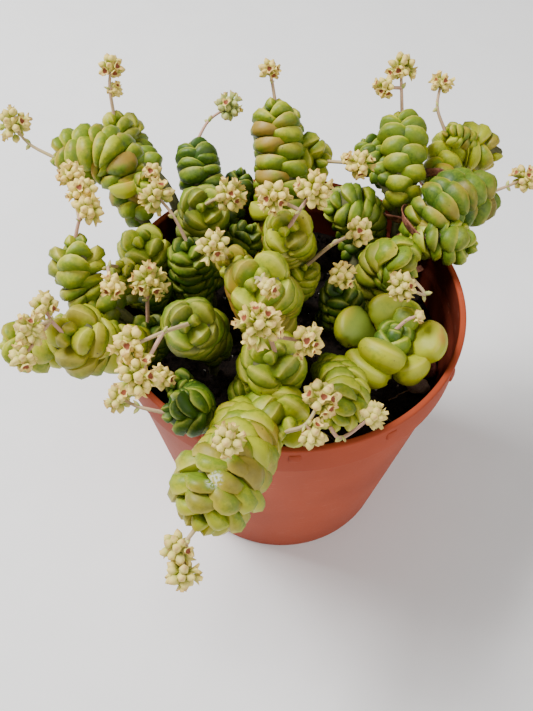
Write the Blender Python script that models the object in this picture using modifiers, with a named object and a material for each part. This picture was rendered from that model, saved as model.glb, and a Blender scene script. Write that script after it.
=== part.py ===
"""Potted Crassula marchandii: leafy stems of tightly stacked leaves, their small
flower heads, peat soil and two stones in a tapered plastic nursery pot.

Numbers are millimetres, turned into metres by MM where the meshes are made.
The origin is the middle of the pot's base and +Z is up.
"""
import math

import bmesh
import bpy
from mathutils import Matrix, Vector, noise

MM = 0.001
GAP = 0.3

# Pot: a 10.5 cm nursery pot with a collar under its rim
POT_HEIGHT = 95.0
RIM_RADIUS = 52.5
RIM_WIDTH = 1.9
COLLAR_DEPTH = 12.0
COLLAR_STEP = 1.3
BASE_RADIUS = 38.0
WALL = 1.6
FLOOR_HEIGHT = 3.0
FLOOR_THICKNESS = 1.8
FOOT_WIDTH = 3.0
FOOT_SLOPE = 0.6
PAD_RADIUS = 12.0
POT_SIDES = 32
LUG_COUNT = 12
LUG_HEIGHT = 3.0
LUG_WIDTH = 3.6
LUG_PROUD = 1.2
LUG_DROP = 2.2
LUG_TURN = 2.0
LUG_TAPER = 0.3
DRAIN_COUNT = 6
DRAIN_RADIUS = 3.6
DRAIN_CIRCLE = 25.0
DRAIN_SIDES = 12

# Soil
SOIL_TOP = 75.0
SOIL_BUMP = 0.9
SOIL_SIDES = 24
ROOT_DEPTH = 6.0
HOLE_SIDES = 5
HOLE_PLAY = 0.6
HOLE_REACH = 6.0
SOIL_GRAIN = 0.11

# Leafy stems
BARE_STEM = 1.8
PITCH = 0.40
TIP_ROW = 0.05
TIP_PITCH = 0.13
PITCH_GROWTH = 0.06
TIP_DOME = 0.95
TIP_SIZE = 0.30
SEAM = 0.72
FOOT_SIZE = 0.58
FOOT_TAPER = 2.4
SEAM_HALF_ANGLE = math.radians(31)
KEEL_SPREAD = math.radians(26)
KEEL_SHIFT = 0.15
SHOOT_TURN = 6
BRANCH_TURN = 9
PATH_STEPS = 14
BARE_STEP = 18.0
ABOVE_SOIL = 4.0
BRANCH_DROP = 10.0

# Flower heads
STALK_RADIUS = 0.75
STALK_BOW = 0.12
SIDE_STALK_BOW = 0.4
FORK_SHARE = 0.45
BRANCH_SIZE = 0.9
BUD_FOOT = 0.80

# Leafy stems of the plant. Each entry is the node, the root on the soil (x, y), and
# its shoots: points from above the soil to the tip, the radius over the leaves and
# the length that carries leaves. A second or third shoot branches off the first one.
STEMS = {
    "stem_back_middle": ((-5, 26), [
        ([(-4, 30, 91), (-3, 40, 107), (-5, 55, 123)], 9.2, 52),
        ([(3, 48, 105), (12, 44, 109)], 9.0, 24)]),
    "stem_back_right": ((33, 26), [
        ([(34, 27, 92), (35, 38, 110), (35, 56, 118)], 9.0, 31),
        ([(30, 35, 107), (24, 51, 112)], 6.4, 17)]),
    "stem_back_left": ((-24, 30), [
        ([(-25, 32, 93), (-28, 40, 107), (-30, 49, 111)], 7.8, 34),
        ([(-18, 38, 95), (-15, 46, 103)], 6.4, 18)]),
    "stem_left_rear": ((-31, 30), [
        ([(-38, 35, 104), (-52, 53, 105), (-56, 56, 116)], 8.2, 27)]),
    "stem_left_arching": ((-36, 17), [
        ([(-40, 19, 95), (-48, 28, 106), (-54, 36, 116), (-72, 38, 113)], 9.2, 39),
        ([(-40, 26, 117)], 5.6, 13)]),
    "stem_right_rear": ((38, 22), [
        ([(40, 25, 93), (41, 28, 100), (47, 40, 103), (53, 54, 106), (68, 53, 106)], 9.0, 31),
        ([(48, 51, 116)], 5.4, 11)]),
    "stem_right_side": ((33, 12), [
        ([(37, 18, 93), (45, 23, 110), (62, 36, 104)], 9.8, 38),
        ([(42, 15, 105), (55, 13, 104)], 7.8, 29)]),
    "stem_right_inner": ((22, 16), [
        ([(26, 28, 90), (23, 30, 101), (11, 29, 104)], 8.4, 25),
        ([(20, 31, 91), (17, 38, 98)], 6.4, 18)]),
    "stem_right_low": ((26, 5), [
        ([(26, 8, 92), (30, 8, 102), (36, 3, 101)], 8.8, 32)]),
    "stem_middle_low": ((13, 4), [
        ([(16, -1, 88), (15, -1, 102)], 7.0, 25)]),
    "stem_middle_tall": ((-2, 12), [
        ([(-1, 13, 90), (0, 8, 108), (-1, -3, 126)], 7.9, 49),
        ([(2, 3, 93), (5, 1, 108)], 5.5, 21)]),
    "stem_middle_left": ((-24, 12), [
        ([(-27, 16, 97), (-26, 19, 108), (-24, 13, 119)], 8.0, 38),
        ([(-17, 19, 92), (-11, 22, 102)], 6.2, 18)]),
    "stem_front_tall": ((-5, -10), [
        ([(-5, -10, 90), (-6, -14, 108), (-9, -25, 131)], 10.0, 54),
        ([(-10, -7, 108), (-17, -12, 124)], 5.6, 17)]),
    "stem_left_slim": ((-27, 0), [
        ([(-28, 2, 90), (-29, 4, 113)], 6.8, 34)]),
    "stem_left_upper": ((-41, 9), [
        ([(-42, 10, 93), (-43, 9, 110)], 8.8, 30),
        ([(-43, -1, 96), (-49, -1, 108)], 6.2, 24),
        ([(-40, -2, 94), (-39, -3, 107)], 6.4, 20)]),
    "stem_left_cluster": ((-40, -14), [
        ([(-45, -15, 102), (-56, -12, 110), (-58, -3, 121)], 8.5, 24),
        ([(-53, -19, 106), (-64, -26, 104), (-77, -25, 103)], 8.6, 25),
        ([(-39, -17, 93), (-39, -17, 103)], 7.4, 20),
        ([(-44, -25, 101), (-52, -28, 107), (-57, -33, 118)], 9.8, 32)]),
    "stem_front_left": ((-22, -14), [
        ([(-22, -17, 96), (-25, -25, 110), (-25, -34, 124)], 8.2, 44)]),
    "stem_front_low": ((-24, -32), [
        ([(-25, -36, 94), (-25, -47, 105), (-31, -49, 107)], 6.9, 24),
        ([(-28, -32, 91), (-31, -33, 98)], 5.8, 14)]),
    "stem_front_cluster": ((-4, -26), [
        ([(-5, -32, 90), (-5, -35, 104), (-4, -38, 119)], 9.2, 38),
        ([(-4, -42, 100), (-1, -55, 109)], 9.9, 27),
        ([(-12, -50, 103), (-11, -58, 107), (-16, -69, 110), (-21, -79, 107)], 12.0, 36),
        ([(-14, -59, 112), (-14, -65, 122)], 6.0, 11),
        ([(-10, -35, 93), (-10, -39, 106)], 6.2, 20)]),
    "stem_front_right": ((14, -18), [
        ([(11, -23, 91), (14, -40, 104), (10, -50, 103)], 7.2, 33)]),
}

# The short open rosette at the right: the root, the middle of the rosette, then each
# leaf as (turn, reach, height from the rosette's middle, leaf size, lean of its tip)
ROSETTE_ROOT = (28, -16)
ROSETTE_MIDDLE = (29, -19, 97)
ROSETTE_STEM_RADIUS = 4.0
ROSETTE_FOOT_RADIUS = 2.7
ROSETTE_NECK = 16.0
ROSETTE_STEM_SIDES = 8
LEAF_THINNING = 0.25
LEAF_WIDENING = 0.12
ROSETTE_TOP = 7.6
YOUNG_LEAF = 3.5
ROSETTE_LEAVES = [(224, 9.3, -2.0, (6.6, 6.4, 4.8), 6), (305, 8.6, -1.0, (5.8, 5.6, 4.6), 8),
                  (154, 12.6, 1.0, (6.0, 6.2, 4.8), 10), (358, 9.3, 2.0, (6.0, 5.8, 5.0), 12),
                  (239, 6.4, 3.0, (6.6, 6.4, 4.8), 20), (98, 9.6, 3.6, (6.0, 5.8, 5.2), 28),
                  (53, 5.6, 5.5, (4.0, 3.6, 3.6), 35), (61, 9.4, 4.5, (3.6, 3.4, 3.2), 25),
                  (25, 2.8, 3.5, (3.4, 3.0, 3.2), 48), (115, 2.6, 3.5, (3.2, 3.0, 3.2), 48),
                  (205, 2.8, 3.5, (3.4, 3.0, 3.2), 48), (295, 2.6, 3.5, (3.2, 3.0, 3.2), 48),
                  (70, 1.2, 6.0, (2.0, 1.8, 2.6), 62), (250, 1.2, 6.0, (2.0, 1.8, 2.6), 62)]

# Flower heads. Each entry is the stem and the number of the shoot that carries it,
# then its clusters as (x, y, z, radius)
FLOWERS = {
    "flower_left_arching": ("stem_left_arching", 0, [(-85, 46, 119, 5.6)]),
    "flower_left_rear": ("stem_left_rear", 0, [(-56, 63, 128, 4.6), (-55, 60, 122, 2.6)]),
    "flower_left_bud": ("stem_left_arching", 1, [(-40, 24, 121, 3.0)]),
    "flower_back_left": ("stem_back_left", 0, [(-20, 58, 118, 4.8)]),
    "flower_back_middle": ("stem_back_middle", 0, [(-7, 59, 131, 3.8)]),
    "flower_back_middle_side": ("stem_back_middle", 1, [(20, 31, 119, 4.6), (17, 37, 116, 2.4)]),
    "flower_back_right": ("stem_back_right", 0, [(34, 66, 128, 5.2), (29, 60, 125, 3.8)]),
    "flower_right_rear": ("stem_right_rear", 1, [(46, 60, 127, 3.8)]),
    "flower_right_side": ("stem_right_side", 0, [(74, 41, 106, 4.8)]),
    "flower_middle_left": ("stem_middle_left", 0, [(-17, 10, 125, 5.0)]),
    "flower_left_slim": ("stem_left_slim", 0, [(-37, 12, 122, 5.4)]),
    "flower_left_outer": ("stem_left_cluster", 0,
                          [(-54, 0, 128, 4.6), (-56, 6, 129, 4.4), (-60, 13, 128, 4.2)]),
    "flower_left_pair": ("stem_left_upper", 1, [(-46, -19, 120, 3.6)]),
    "flower_middle_tall": ("stem_middle_tall", 0, [(5, 0, 136, 5.4), (-5, 0, 134, 4.8)]),
    "flower_middle_tall_side": ("stem_middle_tall", 1, [(18, 0, 122, 4.6)]),
    "flower_middle_low": ("stem_middle_low", 0, [(14, -6, 111, 4.0)]),
    "flower_right_low": ("stem_right_low", 0, [(30, -11, 113, 4.4)]),
    "flower_front_tall_side": ("stem_front_tall", 1, [(-20, -15, 131, 4.8)]),
    "flower_front_tall": ("stem_front_tall", 0, [(-6, -34, 138, 2.8)]),
    "flower_left_low": ("stem_left_cluster", 2, [(-38, -12, 114, 5.4)]),
    "flower_left_front": ("stem_left_cluster", 3,
                          [(-61, -29, 123, 4.0), (-63, -37, 124, 4.4), (-64, -43, 121, 3.8)]),
    "flower_front_left": ("stem_front_left", 0, [(-37, -44, 128, 5.4), (-35, -51, 126, 5.4)]),
    "flower_front_low_side": ("stem_front_low", 1, [(-33, -37, 105, 3.6)]),
    "flower_front_low": ("stem_front_low", 0, [(-42, -46, 109, 4.2)]),
    "flower_front_middle": ("stem_front_cluster", 0, [(-8, -41, 133, 5.8), (3, -41, 127, 4.4)]),
    "flower_front_middle_side": ("stem_front_cluster", 1, [(7, -51, 118, 5.0), (5, -58, 114, 4.2)]),
    "flower_front_right": ("stem_front_right", 0, [(20, -51, 111, 3.7)]),
    "flower_front_hanging": ("stem_front_cluster", 2, [(-25, -83, 105, 4.4), (-24, -88, 102, 4.2)]),
    "flower_front_hanging_side": ("stem_front_cluster", 3, [(-14, -68, 127, 4.0)]),
    "flower_rosette_bud": ("stem_open_rosette", 0, [(35, -17, 108, 2.0)]),
}

STONE_FLAT = 0.62
STONE_ROUGHNESS = 0.22
STONES = {
    "stone_red": ((42.8, -12.6), (2.8, 3.4, 3.6), 3),
    "stone_pale": ((39.5, -19.0), (3.4, 2.4, 2.0), 8),
}


def material(name, colour, roughness, metallic=0.0):
    made = bpy.data.materials.new(name)
    made.use_nodes = True
    shader = made.node_tree.nodes["Principled BSDF"]
    shader.inputs["Base Color"].default_value = (*colour, 1.0)
    shader.inputs["Roughness"].default_value = roughness
    shader.inputs["Metallic"].default_value = metallic
    return made


def new_object(name, mesh, collection, finish=None):
    made = bpy.data.objects.new(name, mesh)
    collection.objects.link(made)
    if finish:
        mesh.materials.append(finish)
    return made


def mesh_from(bm, name):
    bmesh.ops.recalc_face_normals(bm, faces=bm.faces)
    mesh = bpy.data.meshes.new(name)
    bm.to_mesh(mesh)
    bm.free()
    return mesh


def apply_modifiers(target):
    """Keep the evaluated shape as the object's own mesh."""
    graph = bpy.context.evaluated_depsgraph_get()
    finished = bpy.data.meshes.new_from_object(target.evaluated_get(graph))
    target.modifiers.clear()
    old = target.data
    target.data = finished
    bpy.data.meshes.remove(old)


def boolean(target, tools, operation, solver):
    """One Boolean of the target with all the tools, applied; the tools are removed."""
    group = bpy.data.collections.new("tools")
    bpy.context.scene.collection.children.link(group)
    for tool in tools:
        for holder in list(tool.users_collection):
            holder.objects.unlink(tool)
        group.objects.link(tool)
    cut = target.modifiers.new("join", "BOOLEAN")
    cut.operation = operation
    cut.operand_type = "COLLECTION"
    cut.collection = group
    cut.solver = solver
    apply_modifiers(target)
    for tool in list(group.objects):
        bpy.data.objects.remove(tool)
    bpy.data.collections.remove(group)


def keep_outer_shell(target):
    """Fill the hollows that joining seals: only the largest outward shell stays."""
    bm = bmesh.new()
    bm.from_mesh(target.data)
    left = set(bm.faces)
    shells = []
    while left:
        shell = [left.pop()]
        for face in shell:
            for edge in face.edges:
                for other in edge.link_faces:
                    if other in left:
                        left.remove(other)
                        shell.append(other)
        volume = sum(face.calc_area() * face.normal.dot(face.calc_center_median())
                     for face in shell)
        shells.append((volume, shell))
    shells.sort(key=lambda entry: entry[0])
    for _, shell in shells[:-1]:
        bmesh.ops.delete(bm, geom=shell, context="FACES")
    bm.to_mesh(target.data)
    bm.free()


def inner_radius(height):
    """Inside radius of the pot's tapered wall at a height."""
    share = height / (POT_HEIGHT - COLLAR_DEPTH)
    top = RIM_RADIUS - RIM_WIDTH - COLLAR_STEP
    return BASE_RADIUS - WALL + (top - BASE_RADIUS + WALL) * share


def turned(name, profile, sides, collection, finish):
    """A ring or disc turned round Z from (radius, height) points, top to bottom."""
    bm = bmesh.new()
    points = [bm.verts.new((radius * MM, 0, height * MM)) for radius, height in profile]
    for first, second in zip(points, points[1:]):
        bm.edges.new((first, second))
    mesh = bpy.data.meshes.new(name)
    bm.to_mesh(mesh)
    bm.free()
    made = new_object(name, mesh, collection, finish)
    screw = made.modifiers.new("turn", "SCREW")
    screw.steps = sides
    screw.render_steps = sides
    screw.use_merge_vertices = True
    screw.merge_threshold = 0.00001
    apply_modifiers(made)
    bm = bmesh.new()
    bm.from_mesh(made.data)
    bmesh.ops.remove_doubles(bm, verts=bm.verts, dist=0.000001)
    bmesh.ops.recalc_face_normals(bm, faces=bm.faces)
    bm.to_mesh(made.data)
    bm.free()
    return made


def make_pot(collection, cutters, finish):
    collar_bottom = POT_HEIGHT - COLLAR_DEPTH
    outer_top = RIM_RADIUS - COLLAR_STEP
    inner_floor = FLOOR_HEIGHT + FLOOR_THICKNESS
    profile = [
        (0, inner_floor),
        (inner_radius(inner_floor) - 1.0, inner_floor),
        (inner_radius(inner_floor + 1.5), inner_floor + 1.5),
        (inner_radius(collar_bottom), collar_bottom),
        (RIM_RADIUS - RIM_WIDTH, collar_bottom + 1.5),
        (RIM_RADIUS - RIM_WIDTH, POT_HEIGHT - 0.3),
        (RIM_RADIUS - RIM_WIDTH + 0.4, POT_HEIGHT),
        (RIM_RADIUS - 0.5, POT_HEIGHT),
        (RIM_RADIUS, POT_HEIGHT - 0.6),
        (RIM_RADIUS - 0.5, collar_bottom),
        (outer_top - 0.6, collar_bottom - 0.8),
        (BASE_RADIUS, 1.5),
        (BASE_RADIUS - 0.8, 0),
        (BASE_RADIUS - FOOT_WIDTH, 0),
        (BASE_RADIUS - FOOT_WIDTH - FOOT_SLOPE, FLOOR_HEIGHT),
        (PAD_RADIUS + FOOT_SLOPE, FLOOR_HEIGHT),
        (PAD_RADIUS, 0),
        (0, 0),
    ]
    pot = turned("pot", profile, POT_SIDES, collection, finish)
    lugs = []
    for index in range(LUG_COUNT):
        angle = math.radians(LUG_TURN + 360 / LUG_COUNT * index)
        bm = bmesh.new()
        bmesh.ops.create_cube(bm, size=1)
        bmesh.ops.scale(bm, verts=bm.verts, vec=(2 * LUG_PROUD * MM, LUG_WIDTH * MM, LUG_HEIGHT * MM))
        for vertex in bm.verts:
            if vertex.co.z < 0 and vertex.co.x > 0:
                vertex.co.x *= LUG_TAPER
        place = Vector((RIM_RADIUS, 0, POT_HEIGHT - LUG_DROP - LUG_HEIGHT / 2)) * MM
        bmesh.ops.translate(bm, verts=bm.verts, vec=place)
        bmesh.ops.rotate(bm, verts=bm.verts, matrix=Matrix.Rotation(angle, 3, "Z"))
        lugs.append(new_object("lug", mesh_from(bm, "lug"), cutters))
    boolean(pot, lugs, "UNION", "MANIFOLD")
    drains = []
    for index in range(DRAIN_COUNT):
        angle = 2 * math.pi * (index + 0.5) / DRAIN_COUNT
        at = (DRAIN_CIRCLE * math.cos(angle), DRAIN_CIRCLE * math.sin(angle))
        drains.append(cylinder("drain", at, FLOOR_HEIGHT - 1, inner_floor + 1, DRAIN_RADIUS,
                               DRAIN_SIDES, cutters))
    boolean(pot, drains, "DIFFERENCE", "MANIFOLD")
    return pot


def cylinder(name, at, low, high, radius, sides, collection):
    bm = bmesh.new()
    bmesh.ops.create_cone(
        bm, cap_ends=True, segments=sides, radius1=radius * MM, radius2=radius * MM,
        depth=(high - low) * MM,
        matrix=Matrix.Translation(Vector((at[0], at[1], (low + high) / 2)) * MM))
    made = new_object(name, mesh_from(bm, name), collection)
    made.hide_render = True
    made.display_type = "WIRE"
    return made


def make_soil(collection, cutters, finish):
    """Soil that fills the pot, its top uneven, with a plain hole for each stem."""
    bottom = FLOOR_HEIGHT + FLOOR_THICKNESS + GAP
    edge = inner_radius(SOIL_TOP) - GAP - 0.2
    profile = [(0, SOIL_TOP + 0.5), (14, SOIL_TOP + 0.5), (28, SOIL_TOP), (edge - 7, SOIL_TOP),
               (edge, SOIL_TOP - 0.6), (inner_radius(bottom + 2) - GAP - 0.2, bottom + 2),
               (inner_radius(bottom) - 2.2, bottom), (0, bottom)]
    soil = turned("soil", profile, SOIL_SIDES, collection, finish)
    for vertex in soil.data.vertices:
        x, y, z = vertex.co / MM
        if z > SOIL_TOP - 0.3:
            vertex.co.z += noise.noise(Vector((x, y, 0)) * SOIL_GRAIN) * SOIL_BUMP * MM
    holes = []
    for root, _ in STEMS.values():
        radius = (BARE_STEM + GAP) / math.cos(math.pi / HOLE_SIDES) + HOLE_PLAY
        holes.append(cylinder("hole", root, SOIL_TOP - ROOT_DEPTH - GAP, SOIL_TOP + HOLE_REACH,
                              radius, HOLE_SIDES, cutters))
    holes.append(cylinder("hole", ROSETTE_ROOT, SOIL_TOP - ROOT_DEPTH - GAP, SOIL_TOP + HOLE_REACH,
                          ROSETTE_FOOT_RADIUS + 0.5 + 2 * GAP, HOLE_SIDES, cutters))
    boolean(soil, holes, "DIFFERENCE", "MANIFOLD")
    return soil


def smooth_path(points):
    """Points along a Catmull-Rom curve through the given ones."""
    ends = [2 * points[0] - points[1], *points, 2 * points[-1] - points[-2]]
    path = []
    for index in range(1, len(ends) - 2):
        before, start, end, after = ends[index - 1:index + 3]
        for step in range(PATH_STEPS):
            t = step / PATH_STEPS
            path.append(0.5 * (2 * start + (end - before) * t
                               + (2 * before - 5 * start + 4 * end - after) * t * t
                               + (3 * start - before - 3 * end + after) * t ** 3))
    return path + [points[-1]]


class Route:
    """A curve that gives its place and its turning frame at a distance from its tip."""

    def __init__(self, points, turn):
        self.path = smooth_path([Vector(point) for point in points])
        self.path.reverse()
        self.along = [0.0]
        for first, second in zip(self.path, self.path[1:]):
            self.along.append(self.along[-1] + (second - first).length)
        self.length = self.along[-1]
        side = Matrix.Rotation(turn, 3, "Z") @ Vector((1, 0, 0))
        self.sides = []
        for index in range(len(self.path)):
            first = self.path[max(index - 1, 0)]
            second = self.path[min(index + 1, len(self.path) - 1)]
            up = (first - second).normalized()
            side = (side - up * side.dot(up)).normalized()
            self.sides.append((side.copy(), up))

    def frame(self, distance):
        """Place, side, other side and tip direction at a distance from the tip."""
        distance = min(max(distance, 0.0), self.length)
        index = 0
        while index < len(self.along) - 2 and self.along[index + 1] < distance:
            index += 1
        share = (distance - self.along[index]) / (self.along[index + 1] - self.along[index])
        place = self.path[index].lerp(self.path[index + 1], share)
        side = self.sides[index][0].lerp(self.sides[index + 1][0], share).normalized()
        up = self.sides[index][1].lerp(self.sides[index + 1][1], share).normalized()
        return place, side, up.cross(side).normalized(), up

    def point(self, distance, angle, radius):
        place, side, other, _ = self.frame(distance)
        return (place + (side * math.cos(angle) + other * math.sin(angle)) * radius) * MM


def shoot_radius(distance, radius, leafy):
    """Radius over the leaves: a blunt dome at the tip, a slight waist at the foot."""
    dome = min(distance / (TIP_DOME * radius), 1.0)
    size = TIP_SIZE + (1 - TIP_SIZE) * math.sqrt(max(1 - (1 - dome) ** 2, 0.0))
    foot = min((leafy - distance) / (FOOT_TAPER * radius), 1.0)
    return radius * size * (FOOT_SIZE + (1 - FOOT_SIZE) * max(foot, 0.0))


def row_distances(radius, leafy):
    """Distances from the tip of the rows of leaf pairs, closer near the tip."""
    rows = [TIP_ROW * radius]
    step = TIP_PITCH
    while rows[-1] + step * radius < leafy:
        rows.append(rows[-1] + step * radius)
        step = min(step + PITCH_GROWTH, PITCH)
    rows.reverse()
    return rows


def bare_distances(start, length):
    """Distances from the tip of the rings of the bare stem, one of them at the soil."""
    soil = length - ROOT_DEPTH - ABOVE_SOIL
    rings = [start]
    if soil > start + 2:
        count = max(1, round((soil - start) / BARE_STEP))
        rings += [start + (soil - start) * (index + 1) / count for index in range(count)]
    return rings + [length]


def make_shoot(name, route, radius, leafy, collection):
    """One closed body: crossed pairs of leaves on a net of seams, on a bare stem."""
    rows = row_distances(radius, leafy)
    last = len(rows) - 1
    bm = bmesh.new()
    net = {}
    quarter = math.pi / 2

    def distance_at(row):
        low = min(max(int(math.floor(row)), 0), last - 1)
        return rows[low] + (rows[low + 1] - rows[low]) * (row - low)

    def seam(row, angle):
        key = (row, round(math.degrees(angle)) % 360)
        if key not in net:
            distance = rows[row]
            size = SEAM * shoot_radius(distance, radius, leafy)
            net[key] = bm.verts.new(route.point(distance, angle, size))
        return net[key]

    def raised(row, angle, size):
        distance = distance_at(row)
        return bm.verts.new(route.point(distance, angle, size * shoot_radius(distance, radius, leafy)))

    def leaf(row, axis):
        wide = quarter - SEAM_HALF_ANGLE
        rim = [seam(row, axis - wide), seam(row - 1, axis - SEAM_HALF_ANGLE),
               seam(row - 1, axis + SEAM_HALF_ANGLE), seam(row, axis + wide),
               seam(row + 1, axis + SEAM_HALF_ANGLE), seam(row + 1, axis - SEAM_HALF_ANGLE)]
        left = raised(row + KEEL_SHIFT, axis - KEEL_SPREAD, 1.0)
        right = raised(row + KEEL_SHIFT, axis + KEEL_SPREAD, 1.0)
        for corners in ((rim[0], rim[1], left), (rim[1], rim[2], left), (rim[2], right, left),
                        (rim[2], rim[3], right), (rim[3], rim[4], right), (rim[4], left, right),
                        (rim[4], rim[5], left), (rim[5], rim[0], left)):
            bm.faces.new(corners)

    def boundary(row, inner_row):
        """The eight seam corners that close a shoot, in order round it."""
        corners = []
        for turn in range(4):
            middle = quarter * turn
            here = row if (turn % 2 == 0) == (row % 2 == 1) else inner_row
            corners.append(seam(here, middle - SEAM_HALF_ANGLE))
            corners.append(seam(here, middle + SEAM_HALF_ANGLE))
        return corners

    for row in range(1, last):
        axis = 0 if row % 2 == 0 else quarter
        leaf(row, axis)
        leaf(row, axis + math.pi)
    top = bm.verts.new(route.point(0, 0, 0))
    ring = boundary(last, last - 1)
    for first, second in zip(ring, ring[1:] + ring[:1]):
        bm.faces.new((first, second, top))
    ring = boundary(0, 1)
    above = None
    for distance in bare_distances(rows[0] + 1.5, route.length):
        below = [bm.verts.new(route.point(distance, quarter * side, BARE_STEM)) for side in range(4)]
        for side in range(4):
            beside = (side + 1) % 4
            if above:
                bm.faces.new((above[side], above[beside], below[beside], below[side]))
            else:
                first, second, third = (ring[(2 * side + corner) % 8] for corner in range(3))
                bm.faces.new((first, second, below[side]))
                bm.faces.new((second, third, below[beside], below[side]))
        above = below
    bm.faces.new(above)
    bmesh.ops.triangulate(bm, faces=bm.faces)
    return new_object(name, mesh_from(bm, name), collection)


def shoot_routes():
    """The route of each shoot, with the second and third branching off the first."""
    routes = {}
    for number, (name, (root, shoots)) in enumerate(STEMS.items()):
        base = [(*root, SOIL_TOP - ROOT_DEPTH), (*root, SOIL_TOP - 1),
                (*root, SOIL_TOP + ABOVE_SOIL)]
        for index, (points, _, _) in enumerate(shoots):
            turn = math.radians(45 + SHOOT_TURN * (number % 5 - 2) + BRANCH_TURN * index)
            if index == 0:
                main = Route(base + points, turn)
                routes[name, index] = main
                continue
            want = points[0][2] - BRANCH_DROP
            start = min(main.path, key=lambda point: abs(point.z - want))
            routes[name, index] = Route([start, *points], turn)
    return routes


def make_stems(routes, collection, finish):
    for name, (_, shoots) in STEMS.items():
        bodies = []
        for index, (_, radius, leafy) in enumerate(shoots):
            route = routes[name, index]
            leafy = min(leafy, route.length - 3)
            bodies.append(make_shoot(name, route, radius, leafy, collection))
        stem = bodies[0]
        stem.data.materials.append(finish)
        if len(bodies) > 1:
            boolean(stem, bodies[1:], "UNION", "MANIFOLD")
            keep_outer_shell(stem)


def make_rosette(collection, finish):
    """A short stem with rings of thick round leaves laid crosswise."""
    middle = Vector(ROSETTE_MIDDLE)
    foot = Vector((*ROSETTE_ROOT, SOIL_TOP - ROOT_DEPTH))
    neck = Vector((*ROSETTE_ROOT, SOIL_TOP + 3))
    route = Route([foot, neck, middle - Vector((0, 0, 8)), middle + Vector((0, 0, 4))], 0)
    crown = Route([middle, middle + Vector((0, 0, ROSETTE_TOP))], 0)
    bm = bmesh.new()
    sides = ROSETTE_STEM_SIDES
    rings = []
    for index in range(4):
        distance = route.length * index / 3
        wide = ROSETTE_STEM_RADIUS if distance < ROSETTE_NECK else ROSETTE_FOOT_RADIUS
        rings.append([bm.verts.new(route.point(distance, 2 * math.pi * side / sides, wide))
                      for side in range(sides)])
    for first, second in zip(rings, rings[1:]):
        for side in range(sides):
            beside = (side + 1) % sides
            bm.faces.new((first[side], first[beside], second[beside], second[side]))
    bm.faces.new(rings[0])
    bm.faces.new(rings[-1])
    bmesh.ops.triangulate(bm, faces=bm.faces)
    stem = new_object("stem_open_rosette", mesh_from(bm, "stem_open_rosette"), collection, finish)
    leaves = []
    for turn, reach, height, size, lean in ROSETTE_LEAVES:
        around, along = (6, 4) if size[0] > YOUNG_LEAF else (5, 3)
        bm = bmesh.new()
        bmesh.ops.create_uvsphere(bm, u_segments=around, v_segments=along, radius=MM)
        for vertex in bm.verts:
            out = vertex.co.x / MM
            vertex.co.z *= 1.0 - LEAF_THINNING * out
            vertex.co.y *= 1.0 + LEAF_WIDENING * out
        bmesh.ops.scale(bm, verts=bm.verts, vec=size)
        tilt = Matrix.Rotation(-math.radians(lean), 3, "Y")
        bmesh.ops.rotate(bm, verts=bm.verts, matrix=tilt)
        bmesh.ops.translate(bm, verts=bm.verts, vec=(reach * MM, 0, height * MM))
        pose = Matrix.Rotation(math.radians(turn), 3, "Z")
        bmesh.ops.rotate(bm, verts=bm.verts, matrix=pose)
        bmesh.ops.translate(bm, verts=bm.verts, vec=middle * MM)
        leaves.append(new_object("leaf", mesh_from(bm, "leaf"), collection))
    boolean(stem, leaves, "UNION", "MANIFOLD")
    keep_outer_shell(stem)
    return crown


def tube(name, points, radius, collection):
    """A thin stalk along a polyline, made a closed mesh."""
    curve = bpy.data.curves.new(name, "CURVE")
    curve.dimensions = "3D"
    curve.bevel_depth = radius * MM
    curve.bevel_resolution = 0
    curve.use_fill_caps = True
    line = curve.splines.new("POLY")
    line.points.add(len(points) - 1)
    for spot, point in zip(line.points, points):
        spot.co = (*(Vector(point) * MM), 1.0)
    holder = bpy.data.objects.new(name, curve)
    collection.objects.link(holder)
    graph = bpy.context.evaluated_depsgraph_get()
    mesh = bpy.data.meshes.new_from_object(holder.evaluated_get(graph))
    bpy.data.objects.remove(holder)
    bpy.data.curves.remove(curve)
    bm = bmesh.new()
    bm.from_mesh(mesh)
    bpy.data.meshes.remove(mesh)
    bmesh.ops.remove_doubles(bm, verts=bm.verts, dist=0.000001)
    return new_object(name, mesh_from(bm, name), collection)


def flower_cluster(name, middle, radius, outward, turn, collection):
    """A ball of buds: each face of a coarse ball is raised to a blunt bud."""
    bm = bmesh.new()
    bmesh.ops.create_icosphere(bm, subdivisions=1, radius=radius * BUD_FOOT * MM)
    buds = bmesh.ops.poke(bm, faces=bm.faces)["verts"]
    for bud in buds:
        bud.co = bud.co.normalized() * radius * MM
    pose = outward.to_track_quat("Z", "Y").to_matrix() @ Matrix.Rotation(turn, 3, "Z")
    bmesh.ops.rotate(bm, verts=bm.verts, matrix=pose)
    bmesh.ops.translate(bm, verts=bm.verts, vec=middle * MM)
    return new_object(name, mesh_from(bm, name), collection)


def make_flowers(routes, collection, finish):
    """A stalk from each tip, forking to clusters of buds."""
    for name, (stem, index, clusters) in FLOWERS.items():
        tip, _, _, up = routes[stem, index].frame(0)
        seat = tip + up * (GAP + 0.5)
        first = Vector(clusters[0][:3])
        reach = first - seat
        bow = STALK_BOW if up.dot(reach.normalized()) > 0.2 else SIDE_STALK_BOW
        fork = seat + reach * FORK_SHARE + up * reach.length * bow
        stalk = tube(name, [seat, fork, first], STALK_RADIUS, collection)
        stalk.data.materials.append(finish)
        pieces = []
        for number, (x, y, z, radius) in enumerate(clusters):
            middle = Vector((x, y, z))
            away = (middle - fork).normalized()
            if number:
                pieces.append(tube("branch", [fork, middle], STALK_RADIUS * BRANCH_SIZE, collection))
            pieces.append(flower_cluster("cluster", middle, radius, away, x + y + z, collection))
        boolean(stalk, pieces, "UNION", "MANIFOLD")
        keep_outer_shell(stalk)


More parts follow.
